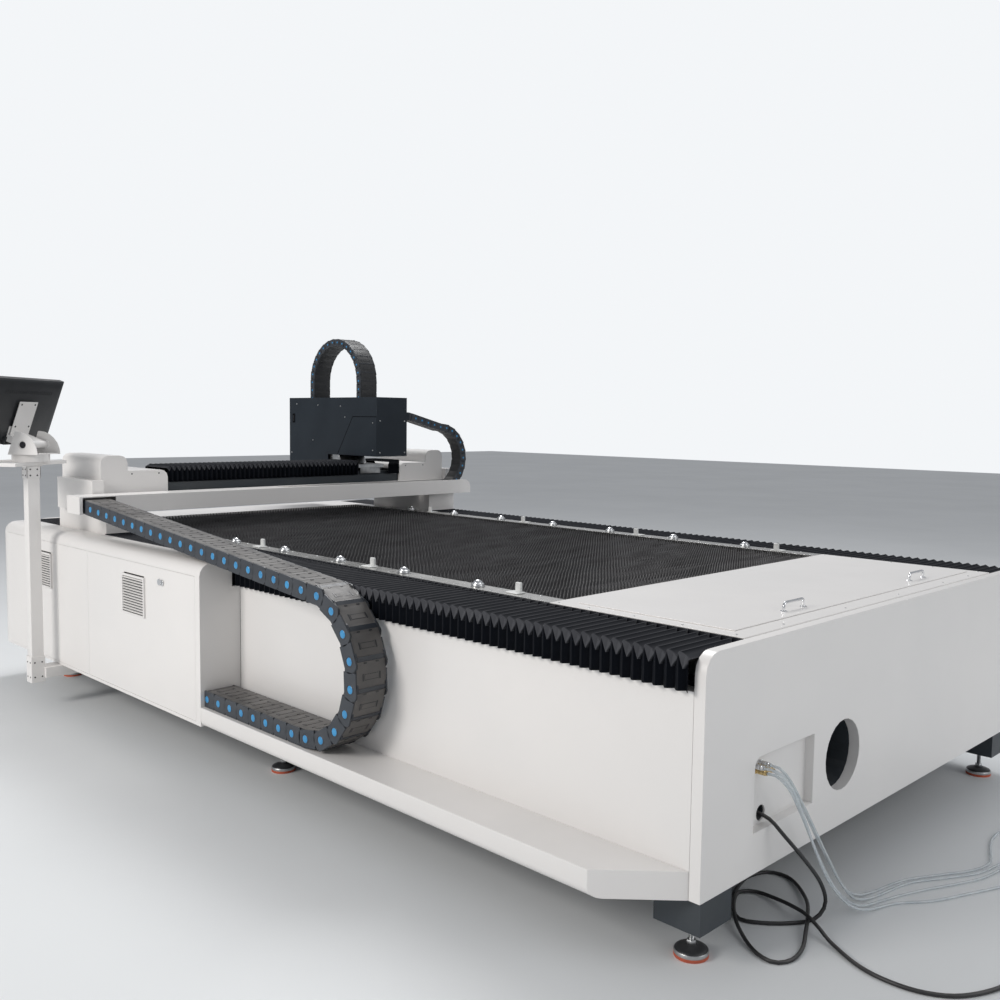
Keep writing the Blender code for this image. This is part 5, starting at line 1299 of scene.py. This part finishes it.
def makeHoodDetails():
    spec = hoodPlan
    bm = bmesh.new()
    near, far = spec["ys"]
    for face, out in ((near, -1), (far, 1)):
        # the seam outline lies just beyond the raised panel in near black: a painted shade line in the joint
        for outline, lift, tone in (("panel", spec["lift"], 0), ("seam", spec["seamLift"], 2)):
            drawnOut(bm, [at(u, face, z) for u, z in spec[outline]], (0, out * lift, 0), tone)
        addScrews(bm, [at(u, face + out * (spec["lift"] if u < spec["panelEnd"] else 0), z)
                       for u, z in spec["screws"]], (0, out, 0), 0.0050, 1)
    for u, row, out in ((spec["us"][0], "rearScrews", 1), (spec["us"][1], "frontScrews", -1)):
        ys, zs = spec[row]
        addScrews(bm, [at(u, y, z) for y in ys for z in zs], (out, 0, 0), 0.0050, 1)
    for us, ys, zs, tone in spec["latch"]:
        addBox(bm, us, [near + y for y in ys], zs, tone)
    # the slits are near-black strips: painted shade in the openings
    for z in spec["slits"]:
        addBox(bm, spec["slitUs"], (far + 0.0002, far + 0.0016), (z - 0.0012, z + 0.0012), 2)
    finishPiece("hoodDetails", bm, ["hoodPaint", "zincPlate", "gapShade", "blackScrew"], "head", (), 0.0004)


nozzlePlan = {
    "spot": (4.26, 1.78, 0.986),
    # profile, sides
    "shapes": (([(0, 0), (0.0020, 0), (0.0046, 0.0016), (0.0125, 0.020), (0.0140, 0.024),
                 (0.0140, 0.030), (0.0105, 0.031), (0, 0.031)], 32),
               ([(0, 0.0305), (0.0170, 0.0305), (0.0185, 0.0320), (0.0185, 0.0470), (0.0170, 0.0485),
                 (0, 0.0485)], 36),
               ([(0, 0.048), (0.0215, 0.048), (0.0240, 0.0505), (0.0240, 0.0740), (0.0215, 0.0760),
                 (0, 0.0760)], 36))}


def makeNozzle():
    bm = bmesh.new()
    for tone, (profile, edges) in enumerate(nozzlePlan["shapes"]):
        addTurned(bm, profile, [Matrix.Translation(at(*nozzlePlan["spot"]))], edges, tone)
    finishPiece("nozzleTip", bm, ["brassTurned", "stopPlastic", "zincPlate"], "lifting_slide", (), 0, 35)


# Screws on covers

coverScrews = {"z": 0.8983, "us": (0.075, 0.260, 0.442, 0.625, 0.755), "edges": (0.262, 2.098),
               "endU": 0.060, "ys": (0.50, 0.90, 1.30, 1.70, 1.95),
               "carriageYs": (0.169, 0.320, 2.040, 2.190),
               "rearU": 3.70, "frontU": 4.19, "rearZs": (1.192,), "frontZs": (1.03, 1.192)}


def makeCoverScrews():
    spec = coverScrews
    bm = bmesh.new()
    rear = [at(u, y, spec["z"]) for u in spec["us"] for y in spec["edges"]]
    rear += [at(spec["endU"], y, spec["z"]) for y in spec["ys"]]
    addScrews(bm, rear, upright, 0.0038)
    finishPiece("rearCoverScrews", bm, ["zincPlate"], "bed")
    bm = bmesh.new()
    for end, out in (("rear", 1), ("front", -1)):
        addScrews(bm, [at(spec[end + "U"], y, z) for y in spec["carriageYs"] for z in spec[end + "Zs"]],
                  (out, 0, 0), 0.0040)
    finishPiece("carriageCoverScrews", bm, ["blackScrew"], "gantry")


for stage, jobs in {
        "camera, light and cords": (makeCamera, makeGroups, makeLight, makeFloor, makeCords),
        "plain parts": (dressParts,),
        "feet, slats and rails": (makeFeet, makeSlats, makeRailParts),
        "bellows": (makeGuideBellows, makeBeamBellows),
        "drag chains": (makeLongChain, makeHeadChain, makeLiftChain),
        "stand and screen": (makeScreen, makePostCap),
        "doors and laser source": (makeVents, makeLockFace, makeLaserFront),
        "handles, fittings, head and screws": (makeHandles, makeFittings, makeHoodDetails, makeNozzle,
                                               makeCoverScrews)}.items():
    for job in jobs:
        job()
    print(stage, "done")
